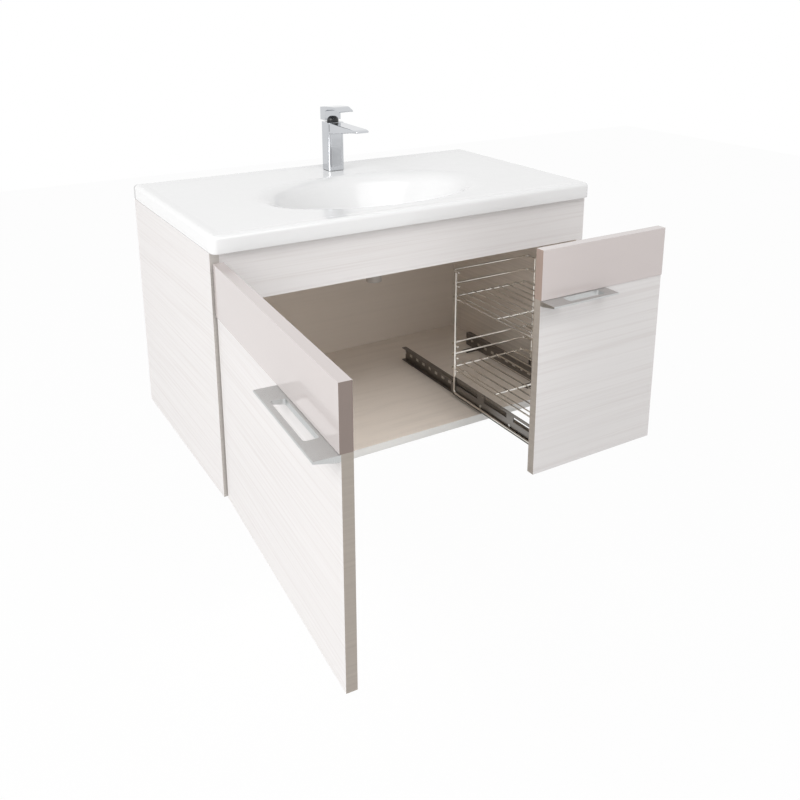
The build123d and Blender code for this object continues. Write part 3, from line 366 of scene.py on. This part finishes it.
def make_piece(name, mesh_data, material, body, replaced=(), sharp=None):
    """Turns a bmesh into a piece of the part that rides on a body."""
    mesh = bpy.data.meshes.new(name)
    mesh_data.normal_update()
    mesh_data.to_mesh(mesh)
    mesh_data.free()
    mesh.shade_smooth()
    if sharp:
        mesh.set_sharp_from_angle(angle=math.radians(sharp))
    mesh.materials.append(material)
    piece = add_object(name, mesh)
    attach(piece, body)
    if replaced:
        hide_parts(*replaced)
    return piece


def rings_mesh(rings, closed_ends=False, made=None):
    """A skin over rings of points, each with the same count, alone or added to a bmesh."""
    made = made or bmesh.new()
    rows = [[made.verts.new(point) for point in ring] for ring in rings]
    count = len(rings[0])
    for low, high in zip(rows, rows[1:]):
        for index in range(count):
            after = (index + 1) % count
            made.faces.new((low[index], low[after], high[after], high[index]))
    if closed_ends:
        made.faces.new(tuple(reversed(rows[0])))
        made.faces.new(tuple(rows[-1]))
    bmesh.ops.recalc_face_normals(made, faces=made.faces)
    return made


def weld(made):
    """Joins the points that lie on each other and turns all faces outwards."""
    bmesh.ops.remove_doubles(made, verts=made.verts, dist=0.02 * MM)
    bmesh.ops.recalc_face_normals(made, faces=made.faces)


def quarter(at, radius, start, steps):
    """Points of a quarter circle in a plane, from an angle in degrees on, both ends included."""
    made = []
    for step in range(steps + 1):
        angle = math.radians(start + 90.0 * step / steps)
        made.append((at[0] + radius * math.cos(angle), at[1] + radius * math.sin(angle)))
    return made


def bend(points, radii, steps):
    """A polyline with its inner corners rounded, as a list of points in a plane."""
    made = [points[0]]
    for before, corner, after, radius in zip(points, points[1:], points[2:], radii):
        corner = Vector(corner)
        first = (Vector(before) - corner).normalized()
        second = (Vector(after) - corner).normalized()
        angle = first.angle(second)
        if radius <= 0 or angle > math.pi - 0.01:
            made.append(tuple(corner))
            continue
        reach = radius / math.tan(angle / 2)
        start = corner + first * reach
        end = corner + second * reach
        middle = corner + (first + second).normalized() * (radius / math.sin(angle / 2))
        for step in range(steps + 1):
            chord = start.lerp(end, step / steps) - middle
            made.append(tuple(middle + chord.normalized() * radius))
    made.append(points[-1])
    return made


def cut_copy(name, front):
    """A copy of a CAD node's mesh without what lies in front of y = front, closed again there."""
    made = bmesh.new()
    made.from_mesh(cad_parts[name].data)
    bmesh.ops.remove_doubles(made, verts=made.verts, dist=0.01 * MM)
    bmesh.ops.dissolve_limit(made, angle_limit=math.radians(0.5), verts=made.verts, edges=made.edges)
    cut = bmesh.ops.bisect_plane(
        made, geom=made.verts[:] + made.edges[:] + made.faces[:],
        plane_co=(0.0, front * MM, 0.0), plane_no=AGAINST_Y, clear_outer=True)
    rim = [item for item in cut["geom_cut"] if isinstance(item, bmesh.types.BMEdge)]
    bmesh.ops.edgeloop_fill(made, edges=rim)
    return made


def rounded_section(middle, half, low, high, corner, y):
    """A ring in x and z at one y: an upright rectangle with rounded corners."""
    corner = min(corner, half * 0.98, (high - low) * 0.49)
    left = middle - half + corner
    right = middle + half - corner
    bottom = low + corner
    top = high - corner
    ring = []
    for at, start in (
        ((right, bottom), -90.0),
        ((right, top), 0.0),
        ((left, top), 90.0),
        ((left, bottom), 180.0),
    ):
        ring += [(x * MM, y * MM, z * MM) for x, z in quarter(at, corner, start, 6)]
    return ring


class CabinetSettings(bpy.types.PropertyGroup):
    """Laminate and edges of the cabinet and its two fronts"""

    laminate: FloatVectorProperty(
        name="Laminate", description="Ground colour of the pale laminate",
        subtype="COLOR", min=0.0, max=1.0, default=(0.81, 0.785, 0.775))
    streak: FloatVectorProperty(
        name="Streak", description="Colour of the fine streaks in the laminate",
        subtype="COLOR", min=0.0, max=1.0, default=(0.69, 0.645, 0.63))
    strip: FloatVectorProperty(
        name="Strip", description="Colour of the edge strip on the two fronts' lower boards",
        subtype="COLOR", min=0.0, max=1.0, default=(0.40, 0.355, 0.31))
    band_strip: FloatVectorProperty(
        name="Band strip", description="Colour of the edge strip on the door's glossy band",
        subtype="COLOR", min=0.0, max=1.0, default=(0.24, 0.185, 0.16))
    # Painted shade: the darker strip on the left side panel's front edge stands for the shade of the open
    # door there; the right panel's front edge has no such strip
    panel_edge_shade: FloatVectorProperty(
        name="Panel strip", description="Colour of the edge strip on the left side panel",
        subtype="COLOR", min=0.0, max=1.0, default=(0.62, 0.585, 0.55))
    floor_strip: FloatVectorProperty(
        name="Floor strip", description="Colour of the edge strip on the cabinet's floor",
        subtype="COLOR", min=0.0, max=1.0, default=(0.70, 0.69, 0.665))
    # Painted shade: the warm tint of the boards inside the cabinet stands for the warm shade in there, not
    # for a laminate of its own
    inside: FloatVectorProperty(
        name="Inside", description="Colour of the warm laminate inside the cabinet",
        subtype="COLOR", min=0.0, max=1.0, default=(0.86, 0.775, 0.69))
    band: FloatVectorProperty(
        name="Band", description="Colour of the glossy band along the top of each front",
        subtype="COLOR", min=0.0, max=1.0, default=(0.60, 0.54, 0.525))
    edge: FloatProperty(
        name="Edge", description="Rounding of the boards' edges",
        subtype="DISTANCE", precision=4, min=0.1 * MM, max=3.0 * MM, default=0.7 * MM)


class BasinSettings(bpy.types.PropertyGroup):
    """Glaze and soft forms of the basin"""

    glaze: FloatVectorProperty(
        name="Glaze", description="Colour of the glaze",
        subtype="COLOR", min=0.0, max=1.0, default=(0.86, 0.86, 0.86))
    lip: FloatProperty(
        name="Lip", description="Height of the raised outer lip",
        subtype="DISTANCE", precision=4, min=0.0, max=6.0 * MM, default=1.6 * MM)
    edge: FloatProperty(
        name="Edge", description="Rounding of the outer edge",
        subtype="DISTANCE", precision=4, min=2.0 * MM, max=14.0 * MM, default=8.0 * MM)
    around: IntProperty(
        name="Around", description="Points along each long side of the outline",
        min=16, max=120, default=56)


class FittingSettings(bpy.types.PropertyGroup):
    """Metals of the tap, the waste, the runners and the handles"""

    chrome: FloatVectorProperty(
        name="Chrome", description="Colour of the polished chrome",
        subtype="COLOR", min=0.0, max=1.0, default=(0.62, 0.635, 0.66))
    wire: FloatVectorProperty(
        name="Wire", description="Colour of the plated wires",
        subtype="COLOR", min=0.0, max=1.0, default=(0.80, 0.77, 0.72))
    zinc: FloatVectorProperty(
        name="Zinc", description="Colour of the runners' dull plating",
        subtype="COLOR", min=0.0, max=1.0, default=(0.24, 0.225, 0.21))
    satin: FloatVectorProperty(
        name="Satin", description="Colour of the satin handles",
        subtype="COLOR", min=0.0, max=1.0, default=(0.63, 0.64, 0.635))
    soft: FloatProperty(
        name="Soft", description="Rounding of the tap's edges",
        subtype="DISTANCE", precision=4, min=0.5 * MM, max=6.0 * MM, default=2.5 * MM)


class StageSettings(bpy.types.PropertyGroup):
    """Floor and light"""

    key: FloatProperty(
        name="Key", description="Power of the main lamp",
        unit="POWER", min=0.0, max=400.0, default=67.0)
    fill: FloatProperty(
        name="Fill", description="Power of the fill lamp",
        unit="POWER", min=0.0, max=400.0, default=24.0)
    opening: FloatProperty(
        name="Opening", description="Power of the lamp on the front of the cabinet's floor",
        unit="POWER", min=0.0, max=200.0, default=52.0)
    ambient: FloatProperty(
        name="Ambient", description="Strength of the surrounding light",
        min=0.0, max=2.0, default=0.62)
    floor_white: FloatProperty(
        name="Floor white", description="Share of plain white in the floor as the camera sees it",
        subtype="FACTOR", min=0.0, max=1.0, default=0.95)
    floor_drop: FloatProperty(
        name="Floor drop", description="Distance of the floor below the origin",
        subtype="DISTANCE", min=0.5, max=2.0, default=0.95)


class VANITY_OT_cabinet(bpy.types.Operator):
    """Dresses the fixed boards of the cabinet"""

    bl_idname = "vanity.cabinet"
    bl_label = "Cabinet boards"

    def execute(self, context):
        settings = context.scene.vanity_cabinet
        laminate = tuple(settings.laminate)
        streak = tuple(settings.streak)
        inside = tuple(settings.inside)
        upright = grained("laminate_upright", laminate, streak, FRONT_GRAIN)
        # Painted shade along the left side panel's front edge, in the darker strip colour
        left = grained("laminate_left", laminate, streak, FRONT_GRAIN,
                       edge=(ALONG_X, tuple(settings.panel_edge_shade)), shaded_inner_face=(ALONG_X, inside))
        right = grained("laminate_right", laminate, streak, FRONT_GRAIN, shaded_inner_face=(AGAINST_X, inside))
        # The floor, the hanging rail and the back panel take the warm inside colour as painted shade; the
        # side panels take it on their inner faces
        level = grained("laminate_level", inside, shade(inside, 0.88), FLOOR_GRAIN,
                        edge=(ALONG_Z, tuple(settings.floor_strip)))
        backing = grained("laminate_backing", inside, shade(inside, 0.94), BACK_GRAIN,
                          roughness=0.5, relief=0.05)
        for name, material in (
            ("side_panel_left", left),
            ("side_panel_right", right),
            ("front_rail", upright),
            ("floor_panel", level),
            ("hanging_rail", backing),
        ):
            dress(name, material, settings.edge)
        dress("back_panel", backing, SHEET_ROUND)
        dress("carcass_dowels", timber("dowel_wood", RAW_BEECH))
        return {"FINISHED"}


class VANITY_OT_fronts(bpy.types.Operator):
    """Dresses the door and the drawer front"""

    bl_idname = "vanity.fronts"
    bl_label = "Door and drawer front"

    def execute(self, context):
        settings = context.scene.vanity_cabinet
        fittings = context.scene.vanity_fittings
        wood = timber("front_dowel_wood", RAW_BEECH)
        satin = metal("handle_satin", tuple(fittings.satin),
                      roughness=0.34, scale=900.0, relief=0.02, streaky=HANDLE_GRAIN)
        steel = steel_of("front_screw_steel")
        rubber = moulded("buffer_rubber", BUFFER_GREY, 0.5)
        # The drawer takes copies of the door's finishes that differ only as painted light: its board is
        # painted 8% darker as shade and its band's edge strip 1.8 times lighter
        for front, face_axis, board_painted_shade, strip_painted_light in (
            ("door", ALONG_X, 1.0, 1.0),
            ("drawer", ALONG_Y, 0.92, 1.8),
        ):
            board = grained(front + "_laminate", shade(settings.laminate, board_painted_shade),
                            shade(settings.streak, board_painted_shade), FRONT_GRAIN,
                            edge=(face_axis, tuple(settings.strip)))
            band = lacquered(front + "_lacquer", tuple(settings.band),
                             (face_axis, shade(settings.band_strip, strip_painted_light)))
            dress(front + "_panel", board, settings.edge)
            dress(front + "_band", band, settings.edge)
            dress(front + "_dowels", wood)
            dress(front + "_handle", satin, HANDLE_ROUND, 3)
            dress(front + "_handle_screws", steel, METAL_ROUND)
            dress(front + "_buffers", rubber, SOFT_ROUND)
        return {"FINISHED"}


class BasinForm:
    """The basin's skin as rings with one count of points, from the drain out and back below the bowl."""

    # Length of the bowl over its width, and half widths from the drain's hole out to the flat deck
    stretch = 1.7
    hole_radius = 22.5
    seat_radius = 33.0
    floor_radius = 76.0
    bowl_radius = 126.0
    deck_radius = 150.0

    # Depths of the bowl and of the seat in its floor, rounding of the front corners, and walls
    bowl_depth = 115.0
    seat_drop = 1.0
    corner = 12.0
    wall = 18.0
    slab = 12.0
    shell = 11.0

    # Distance from the outline, with a share of the lip's height, then with a height over the cabinet
    lip_profile = ((26.0, 0.0), (22.0, 0.15), (18.0, 0.5), (14.0, 0.85), (11.0, 1.0))
    foot_profile = ((0.0, 1.2), (0.4, 0.4), (1.2, 0.0))

    def __init__(self, lip, edge, long_count):
        self.low, self.high = box_mm("basin")
        nut_low, nut_high = box_mm("waste_nut")
        self.middle = (nut_low + nut_high) / 2
        self.deck = self.high.z
        self.lip = lip
        self.edge = edge
        self.base = box_mm("side_panel_left")[1].z
        self.floor = self.deck - self.bowl_depth
        self.seat = self.floor - self.seat_drop
        self.outline = self.trace(long_count, long_count * 5 // 8)
        self.ways = []
        for point in self.outline:
            way = Vector(((point.x - self.middle.x) / self.stretch, point.y - self.middle.y))
            self.ways.append(way.normalized())

    def trace(self, long_count, short_count):
        """The outline from above, with round corners in front and square ones at the wall."""
        low, high, corner = self.low, self.high, self.corner
        left = low.x + corner
        right = high.x - corner
        front = low.y + corner
        front_side, right_side, wall_side, left_side = (
            [Vector(start).lerp(Vector(end), step / count) for step in range(count)]
            for start, end, count in (
                ((left, low.y), (right, low.y), long_count),
                ((high.x, front), (high.x, high.y), short_count),
                ((high.x, high.y), (low.x, high.y), long_count),
                ((low.x, high.y), (low.x, front), short_count),
            ))
        right_corner, left_corner = (
            [Vector(point) for point in quarter((x, front), corner, start, 8)[:-1]]
            for x, start in ((right, -90.0), (left, 180.0)))
        return front_side + right_corner + right_side + wall_side + left_side + left_corner

    def oval(self, radius, level, round_radius=0.0, reach=1.0):
        """An oval of the bowl, which eases into a circle over the reach down to the round radius."""
        share = min(max((radius - round_radius) / reach, 0.0), 1.0)
        pull = 1.0 + (self.stretch - 1.0) * share * share * (3.0 - 2.0 * share)
        wide = radius * pull * MM
        deep = radius * MM
        at = self.middle * MM
        return [(at.x + way.x * wide, at.y + way.y * deep, level * MM) for way in self.ways]

    def inset(self, amount, level):
        """The outline moved inwards by an amount; the front corners keep their centres."""
        low, high, corner = self.low, self.high, self.corner
        ring = []
        for point in self.outline:
            x = min(max(point.x, low.x + amount), high.x - amount)
            y = min(max(point.y, low.y + amount), high.y - amount)
            if amount < corner:
                for side in (-1, 1):
                    at = Vector(((high.x - corner) * side, low.y + corner))
                    away = point - at
                    if away.x * side > 0 and away.y < 0:
                        x, y = at + away.normalized() * (corner - amount)
            ring.append((x * MM, y * MM, level * MM))
        return ring

    def bowl(self):
        """From the drain's seat over the shallow floor and the soft wall to the deck."""
        corners = [
            (self.seat_radius, self.seat),
            (self.seat_radius, self.floor + 0.6),
            (self.floor_radius, self.floor + 3.5),
            (self.bowl_radius, self.deck),
            (self.deck_radius, self.deck),
        ]
        profile = bend(corners, [1.0, 42.0, 36.0], 14)
        return [self.oval(radius, level, self.seat_radius, 34.0) for radius, level in profile]

    def top(self):
        """The flat deck and its rise to the lip along the outline."""
        near = self.oval(self.deck_radius, self.deck)
        far = self.inset(24.0, self.deck)
        made = [[tuple(Vector(start).lerp(Vector(end), share)) for start, end in zip(near, far)]
                for share in (0.2, 0.4, 0.6, 0.8)]
        for amount, rise in self.lip_profile:
            made.append(self.inset(amount, self.deck + self.lip * rise))
        return made

    def side(self):
        """The rounded outer edge, the upright side and the small rounding at its foot."""
        level = self.deck + self.lip - self.edge
        made = [self.inset(self.edge - out, level + up)
                for up, out in quarter((0.0, 0.0), self.edge, 0.0, 8)]
        made.append(self.inset(0.0, (level + self.base) / 2))
        for amount, rise in self.foot_profile:
            made.append(self.inset(amount, self.base + rise))
        return made

    def underside(self):
        """Up inside the outer wall, then down along the bowl's underside and in to the seat."""
        under = self.deck - self.slab
        corners = [
            (self.deck_radius + 2.0, under),
            (self.bowl_radius + self.shell, under - 1.0),
            (self.floor_radius + self.shell, self.floor - self.shell + 1.0),
            (self.hole_radius, self.floor - self.shell),
            (self.hole_radius, self.seat),
            (self.seat_radius, self.seat),
        ]
        profile = bend(corners, [12.0, 44.0, 2.0, 0.0], 10)
        return [
            self.inset(self.wall - 1.0, self.base),
            self.inset(self.wall, self.base + 1.0),
            self.inset(self.wall, under),
            *(self.oval(radius, level, self.hole_radius, 40.0) for radius, level in profile),
        ]


class VANITY_OT_basin(bpy.types.Operator):
    """Builds the glazed basin over its solid"""

    bl_idname = "vanity.basin"
    bl_label = "Basin"

    def execute(self, context):
        settings = context.scene.vanity_basin
        form = BasinForm(settings.lip / MM, settings.edge / MM, settings.around)
        glaze = glazed("glaze", tuple(settings.glaze))
        mesh = rings_mesh(form.bowl() + form.top() + form.side() + form.underside())
        weld(mesh)
        make_piece("basin_glazed", mesh, glaze, "cabinet", ("basin",))
        return {"FINISHED"}


class VANITY_OT_tap(bpy.types.Operator):
    """Builds the polished tap over its solids"""

    bl_idname = "vanity.tap"
    bl_label = "Tap"

    # The spout's root over the tap's foot, rise of its underside, fall of its top and its nose;
    # stations and levels along it are shares of its length
    spout_root = 80.0
    spout_half = 17.0
    spout_rise = 17.0
    spout_fall = 1.6
    spout_stations = (-0.012, 0.02, 0.2, 0.4, 0.6, 0.75)
    level_from = 0.93
    nose_from = 0.86
    nose_narrowing = 4.5
    nose_height = 2.4
    nose_lift = 1.3

    # The lever's block and the crest and tip of its plate, all from its back
    block_reach = 21.6
    crest_reach = 62.0
    tip_reach = 84.0
    plate_depth = 10.0
    plate_taper = 2.2
    crest_rise = 2.6

    # The dark dome, painted shade for the shadow and dark reflections under the lever, and how far in
    # front of the neck's axis it sits
    dome_radius = 12.6
    dome_height = 12.5
    dome_offset = 2.0

    # Sharp edges of the built pieces start at this angle in degrees
    sharp = 32.0

    def execute(self, context):
        settings = context.scene.vanity_fittings
        chrome = metal("tap_chrome", tuple(settings.chrome), roughness=0.07, scale=30.0, relief=0.02)
        brass = metal("fitting_brass", THREAD_BRASS, roughness=0.3, scale=90.0, relief=0.1)
        steel = metal("tap_steel", SCREW_STEEL, roughness=0.3, scale=200.0, relief=0.15)
        self.build_body(chrome, settings.soft)
        self.build_lever(chrome, settings.soft)
        # Painted shade: a black dome where the lever's underside holds shadow and dark reflections
        self.build_shade_dome(moulded("dome_painted_shade", NECK_PAINTED_SHADE, 0.16))
        dress("tap_aerator", chrome, METAL_ROUND)
        dress("tap_base_seal", moulded("seal_rubber", SEAL_BLACK, 0.6))
        dress("tap_nut", brass, METAL_ROUND)
        # Painted shade: the neck is painted black for the shadow under the lever
        dress("cartridge_neck", moulded("neck_painted_shade", NECK_PAINTED_SHADE, 0.2), TUBE_ROUND)
        dress("cartridge", moulded("cartridge_plastic", CARTRIDGE_GREY, 0.5), PART_ROUND)
        for name in ("tap_stud", "tap_clamp_plate", "lever_screw", "cartridge_gland", "lever_stem"):
            dress(name, steel, METAL_ROUND)
        return {"FINISHED"}

    def build_body(self, chrome, soft):
        """The column with its well and inlets as in the solid, and a tapering spout with a round nose."""
        low, high = box_mm("tap_body")
        middle = (low.x + high.x) / 2
        front = high.y - (high.x - low.x)
        length = front - low.y
        root = low.z + self.spout_root
        crown = box_mm("cartridge_gland")[1].z - 0.4

        def under(share):
            """The underside rises along the spout and levels out near its tip."""
            return root + self.spout_rise * min(max(share, 0.0) / self.level_from, 1.0)

        def over(share):
            """The top falls a little towards the tip."""
            return crown - self.spout_fall * max(share, 0.0)

        def section(share, half, below, above):
            return rounded_section(middle, half, below, above, soft / MM, front - length * share)

        rings = [section(share, self.spout_half, under(share), over(share))
                 for share in (*self.spout_stations, self.nose_from)]
        for upright, ahead in quarter((0.0, 0.0), 1.0, 0.0, 8)[1:]:
            sink = 1.0 - upright
            share = self.nose_from + (1.0 - self.nose_from) * ahead
            below = under(self.nose_from) + self.nose_lift * ahead
            above = over(self.nose_from)
            above -= (above - below - self.nose_height) * sink
            rings.append(section(share, self.spout_half - self.nose_narrowing * sink, below, above))
        body = rings_mesh(rings, True, cut_copy("tap_body", front - 0.3))
        piece = make_piece("tap_polished", body, chrome, "cabinet", ("tap_body",), self.sharp)
        soften(piece, soft * 0.4)

    def build_shade_dome(self, shade_black):
        """The dark dome on the turning neck, in front of the lever's block: a black piece of painted shade
        for the shadow and dark reflections under the lever.
        """
        low, high = box_mm("cartridge_neck")
        middle = (low + high) / 2
        middle.y -= self.dome_offset
        base = box_mm("cartridge_gland")[1].z + 0.4
        top = base + self.dome_height
        radius = self.dome_radius
        corners = [(radius - 1.6, base), (radius, base), (radius, top - 1.0), (1.2, top)]
        turns = [math.tau * step / 40 for step in range(40)]
        rings = []
        for reach, level in bend(corners, [0.6, 9.4], 9):
            rings.append([((middle.x + reach * math.cos(turn)) * MM,
                           (middle.y + reach * math.sin(turn)) * MM,
                           level * MM) for turn in turns])
        make_piece("neck_shade_dome", rings_mesh(rings, True), shade_black, "neck")

    def build_lever(self, chrome, soft):
        """The block of the solid, shortened, and a thin plate that rises and turns down at its tip."""
        low, high = box_mm("tap_lever")
        back = high.y
        front = back - self.block_reach
        crest = back - self.crest_reach
        tip = back - self.tip_reach
        solid_rise = 15.0
        slope = solid_rise / (back - low.y - 4.0)
        start = high.z - solid_rise + slope * self.block_reach
        under = start - self.plate_depth
        peak = start + self.crest_rise

        lever = cut_copy("tap_lever", front)
        bmesh.ops.bisect_plane(
            lever, geom=lever.verts[:] + lever.edges[:] + lever.faces[:],
            plane_co=(0.0, 0.0, under * MM), plane_no=ALONG_Z)
        opened = [face for face in lever.faces
                  if abs(face.calc_center_median().y - front * MM) < 0.01 * MM
                  and face.calc_center_median().z > under * MM]
        bmesh.ops.delete(lever, geom=opened, context="FACES_ONLY")

        corners = [
            (front, under),
            (front - 13.0, start - 5.5),
            (crest, peak - 5.0),
            (tip + 1.2, peak - 9.4),
            (tip, peak - 6.8),
            (crest, peak),
            (front, start),
        ]
        outline = bend(corners, [9.0, 30.0, 0.8, 1.3, 34.0], 6)
        left, right = (
            [lever.verts.new(((edge - inward * (front - y) / (front - tip)) * MM, y * MM, z * MM))
             for y, z in outline]
            for edge, inward in ((low.x, -self.plate_taper), (high.x, self.plate_taper)))
        for index in range(len(outline) - 1):
            lever.faces.new((left[index], left[index + 1], right[index + 1], right[index]))
        lever.faces.new(tuple(reversed(left)))
        lever.faces.new(tuple(right))
        weld(lever)
        piece = make_piece("lever_polished", lever, chrome, "lever", ("tap_lever",), self.sharp)
        soften(piece, soft * 0.6)


class VANITY_OT_waste(bpy.types.Operator):
    """Dresses the waste under the bowl"""

    bl_idname = "vanity.waste"
    bl_label = "Waste"

    def execute(self, context):
        settings = context.scene.vanity_fittings
        chrome = metal("waste_chrome", tuple(settings.chrome), roughness=0.09, scale=40.0, relief=0.02)
        for name in ("waste_flange", "waste_plug", "waste_nut"):
            dress(name, chrome, PART_ROUND, 3)
        dress("waste_seal", moulded("waste_rubber", SEAL_BLACK, 0.6), PART_ROUND)
        # The waste tail's colour is painted shade over its white plastic
        dress("waste_tail", moulded("pipe_plastic", PIPE_PAINTED_SHADE, 0.45), TUBE_ROUND)
        return {"FINISHED"}


class VANITY_OT_basket(bpy.types.Operator):
    """Dresses the wire frame, its baskets and the runners"""

    bl_idname = "vanity.basket"
    bl_label = "Basket and runners"

    def execute(self, context):
        settings = context.scene.vanity_fittings
        wire = metal("wire_chrome", tuple(settings.wire), roughness=0.16, scale=120.0, relief=0.03)
        zinc = runner_plating("runner_zinc", tuple(settings.zinc))
        steel = steel_of("runner_screw_steel")
        low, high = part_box("slide_outer_left")
        # The outer and middle members carry painted highlights for the balls' glints
        glinting = slot_glints("runner_slot_glints", tuple(settings.zinc), (low.z + high.z) / 2)
        for name in ("side_frames", "upper_basket", "lower_basket"):
            dress(name, wire)
        dress("slide_feet", zinc, METAL_ROUND)
        for side in ("left", "right"):
            dress("slide_inner_" + side, zinc, METAL_ROUND)
            dress("carriage_" + side, zinc, METAL_ROUND)
            dress("slide_outer_" + side, glinting, METAL_ROUND)
            dress("slide_middle_" + side, glinting, METAL_ROUND)
        for name in ("carriage_rivets", "slide_feet_screws", "saddle_screws"):
            dress(name, steel, METAL_ROUND)
        dress("frame_saddles", moulded("saddle_plastic", SADDLE_WHITE, 0.4), SOFT_ROUND)
        return {"FINISHED"}


class VANITY_OT_hinges(bpy.types.Operator):
    """Dresses the concealed hinges"""

    bl_idname = "vanity.hinges"
    bl_label = "Hinges"

    def execute(self, context):
        nickel = metal("hinge_nickel", HINGE_NICKEL, roughness=0.22, scale=150.0, relief=0.08)
        steel = steel_of("hinge_steel")
        for name in ("hinge_cups", "hinge_arms", "hinge_plates"):
            dress(name, nickel, PART_ROUND)
        for name in ("cup_screws", "hinge_screws"):
            dress(name, steel, METAL_ROUND)
        return {"FINISHED"}


# Stage

def whiten(tree, output, lit, share):
    """Joins a lit shader with plain white for camera, mirror and glass rays, white by the share."""
    rays = node(tree, "ShaderNodeLightPath").outputs
    seen = maths(tree, "MAXIMUM", rays["Is Camera Ray"], rays["Is Glossy Ray"])
    seen = maths(tree, "MAXIMUM", seen, rays["Is Transmission Ray"])
    kind = "ShaderNodeBackground" if output.bl_idname == "ShaderNodeOutputWorld" else "ShaderNodeEmission"
    white = node(tree, kind, {"Color": WHITE, "Strength": 1.0})
    join = node(tree, "ShaderNodeMixShader")
    for place, source in enumerate((maths(tree, "MULTIPLY", seen, share), lit, white.outputs[0])):
        tree.links.new(source, join.inputs[place])
    tree.links.new(join.outputs[0], output.inputs["Surface"])


def aim(item, place, ahead, roll=0.0):
    """Puts a lamp or the camera at a place, looking ahead."""
    turn = Vector(ahead).to_track_quat("-Z", "Y").to_matrix() @ Matrix.Rotation(roll, 3, "Z")
    item.location = place
    item.rotation_mode = "QUATERNION"
    item.rotation_quaternion = turn.to_quaternion()


def add_lamp(name, kind, power, place, target):
    data = bpy.data.lights.new(name, kind)
    data.energy = power
    aim(add_object(name, data), place, Vector(target) - Vector(place))
    return data


class VANITY_OT_stage(bpy.types.Operator):
    """Sets the floor, the light and the camera"""

    bl_idname = "vanity.stage"
    bl_label = "Stage"

    def execute(self, context):
        settings = context.scene.vanity_stage
        context.scene.view_settings.view_transform = "Standard"
        self.build_surround(context.scene, settings.ambient)
        self.build_floor(settings.floor_drop, settings.floor_white)
        self.build_lamps(settings)
        self.build_camera(context.scene)
        return {"FINISHED"}

    def build_surround(self, scene, strength):
        """Even white light that the camera sees as plain white."""
        world = bpy.data.worlds.new("surround")
        scene.world = world
        world.use_nodes = True
        tree = world.node_tree
        lit = tree.nodes["Background"]
        lit.inputs["Color"].default_value = WHITE
        lit.inputs["Strength"].default_value = strength
        whiten(tree, tree.nodes["World Output"], lit.outputs[0], 1.0)

    def build_floor(self, drop, white_share):
        """A pale floor that takes a faint shadow."""
        floor_mesh = bmesh.new()
        bmesh.ops.create_grid(floor_mesh, x_segments=8, y_segments=8, size=6.0)
        mesh = bpy.data.meshes.new("floor")
        floor_mesh.to_mesh(mesh)
        floor_mesh.free()
        floor = add_object("floor", mesh)
        floor.location = (0.0, -1.0, -drop)
        material, tree, shader = new_material("floor_pale")
        speck = noise(tree, evenly(3.0), 3.0)
        tone = ramp(tree, speck, [(0.3, evenly(0.90)), (0.7, evenly(0.93))])
        tree.links.new(tone, shader.inputs["Base Color"])
        shader.inputs["Roughness"].default_value = 0.8
        whiten(tree, tree.nodes["Material Output"], shader.outputs[0], white_share)
        mesh.materials.append(material)

    def build_lamps(self, settings):
        """Two large soft lamps and a small one that lights the front of the cabinet's floor."""
        key = add_lamp("key", "AREA", settings.key, (-3.2, -1.3, 1.7), (0.0, -0.4, -0.1))
        key.size = 2.4
        fill = add_lamp("fill", "AREA", settings.fill, (0.2, -2.8, 2.1), (0.0, -0.4, -0.2))
        fill.size = 2.0
        opening = add_lamp("opening", "SPOT", settings.opening, (0.05, -1.6, 1.1), (-0.12, -0.47, -0.40))
        opening.spot_size = math.radians(17.0)
        opening.spot_blend = 1.0
        opening.shadow_soft_size = 0.2

    def build_camera(self, scene):
        """The photo's view, with its place in metres, its turn in radians and its lens shifted down."""
        place = (-0.8382, -1.7846, 0.4522)
        yaw = 0.538
        pitch = -0.277
        roll = -0.001
        lens_per_width = 888.5 / 800.0
        data = bpy.data.cameras.new("camera")
        data.sensor_width = 36.0
        data.lens = data.sensor_width * lens_per_width
        data.shift_y = -0.20
        data.clip_end = 50.0
        camera = add_object("camera", data)
        scene.camera = camera
        ahead = (math.sin(yaw) * math.cos(pitch), math.cos(yaw) * math.cos(pitch), math.sin(pitch))
        aim(camera, place, ahead, roll)


class VANITY_PT_looks(bpy.types.Panel):
    """Buttons that dress the unit piece by piece"""

    bl_idname = "VANITY_PT_looks"
    bl_label = "Vanity unit"
    bl_space_type = "VIEW_3D"
    bl_region_type = "UI"
    bl_category = "Vanity"

    def draw(self, context):
        for group in GROUPS:
            settings = getattr(context.scene, group)
            box = self.layout.box()
            for name in settings.__annotations__:
                box.prop(settings, name)
        for operator in OPERATORS:
            self.layout.operator(operator.bl_idname)


GROUPS = {
    "vanity_cabinet": CabinetSettings,
    "vanity_basin": BasinSettings,
    "vanity_fittings": FittingSettings,
    "vanity_stage": StageSettings,
}
OPERATORS = (
    VANITY_OT_cabinet,
    VANITY_OT_fronts,
    VANITY_OT_basin,
    VANITY_OT_tap,
    VANITY_OT_waste,
    VANITY_OT_basket,
    VANITY_OT_hinges,
    VANITY_OT_stage,
)


def register():
    for name, group in GROUPS.items():
        bpy.utils.register_class(group)
        setattr(bpy.types.Scene, name, PointerProperty(type=group))
    for item in (*OPERATORS, VANITY_PT_looks):
        bpy.utils.register_class(item)


def unregister():
    for item in reversed((*OPERATORS, VANITY_PT_looks)):
        bpy.utils.unregister_class(item)
    for name, group in GROUPS.items():
        delattr(bpy.types.Scene, name)
        bpy.utils.unregister_class(group)


def main():
    register()
    bpy.ops.vanity.cabinet()
    bpy.ops.vanity.fronts()
    bpy.ops.vanity.basin()
    bpy.ops.vanity.tap()
    bpy.ops.vanity.waste()
    bpy.ops.vanity.basket()
    bpy.ops.vanity.hinges()
    bpy.ops.vanity.stage()


if __name__ == "__main__":
    main()
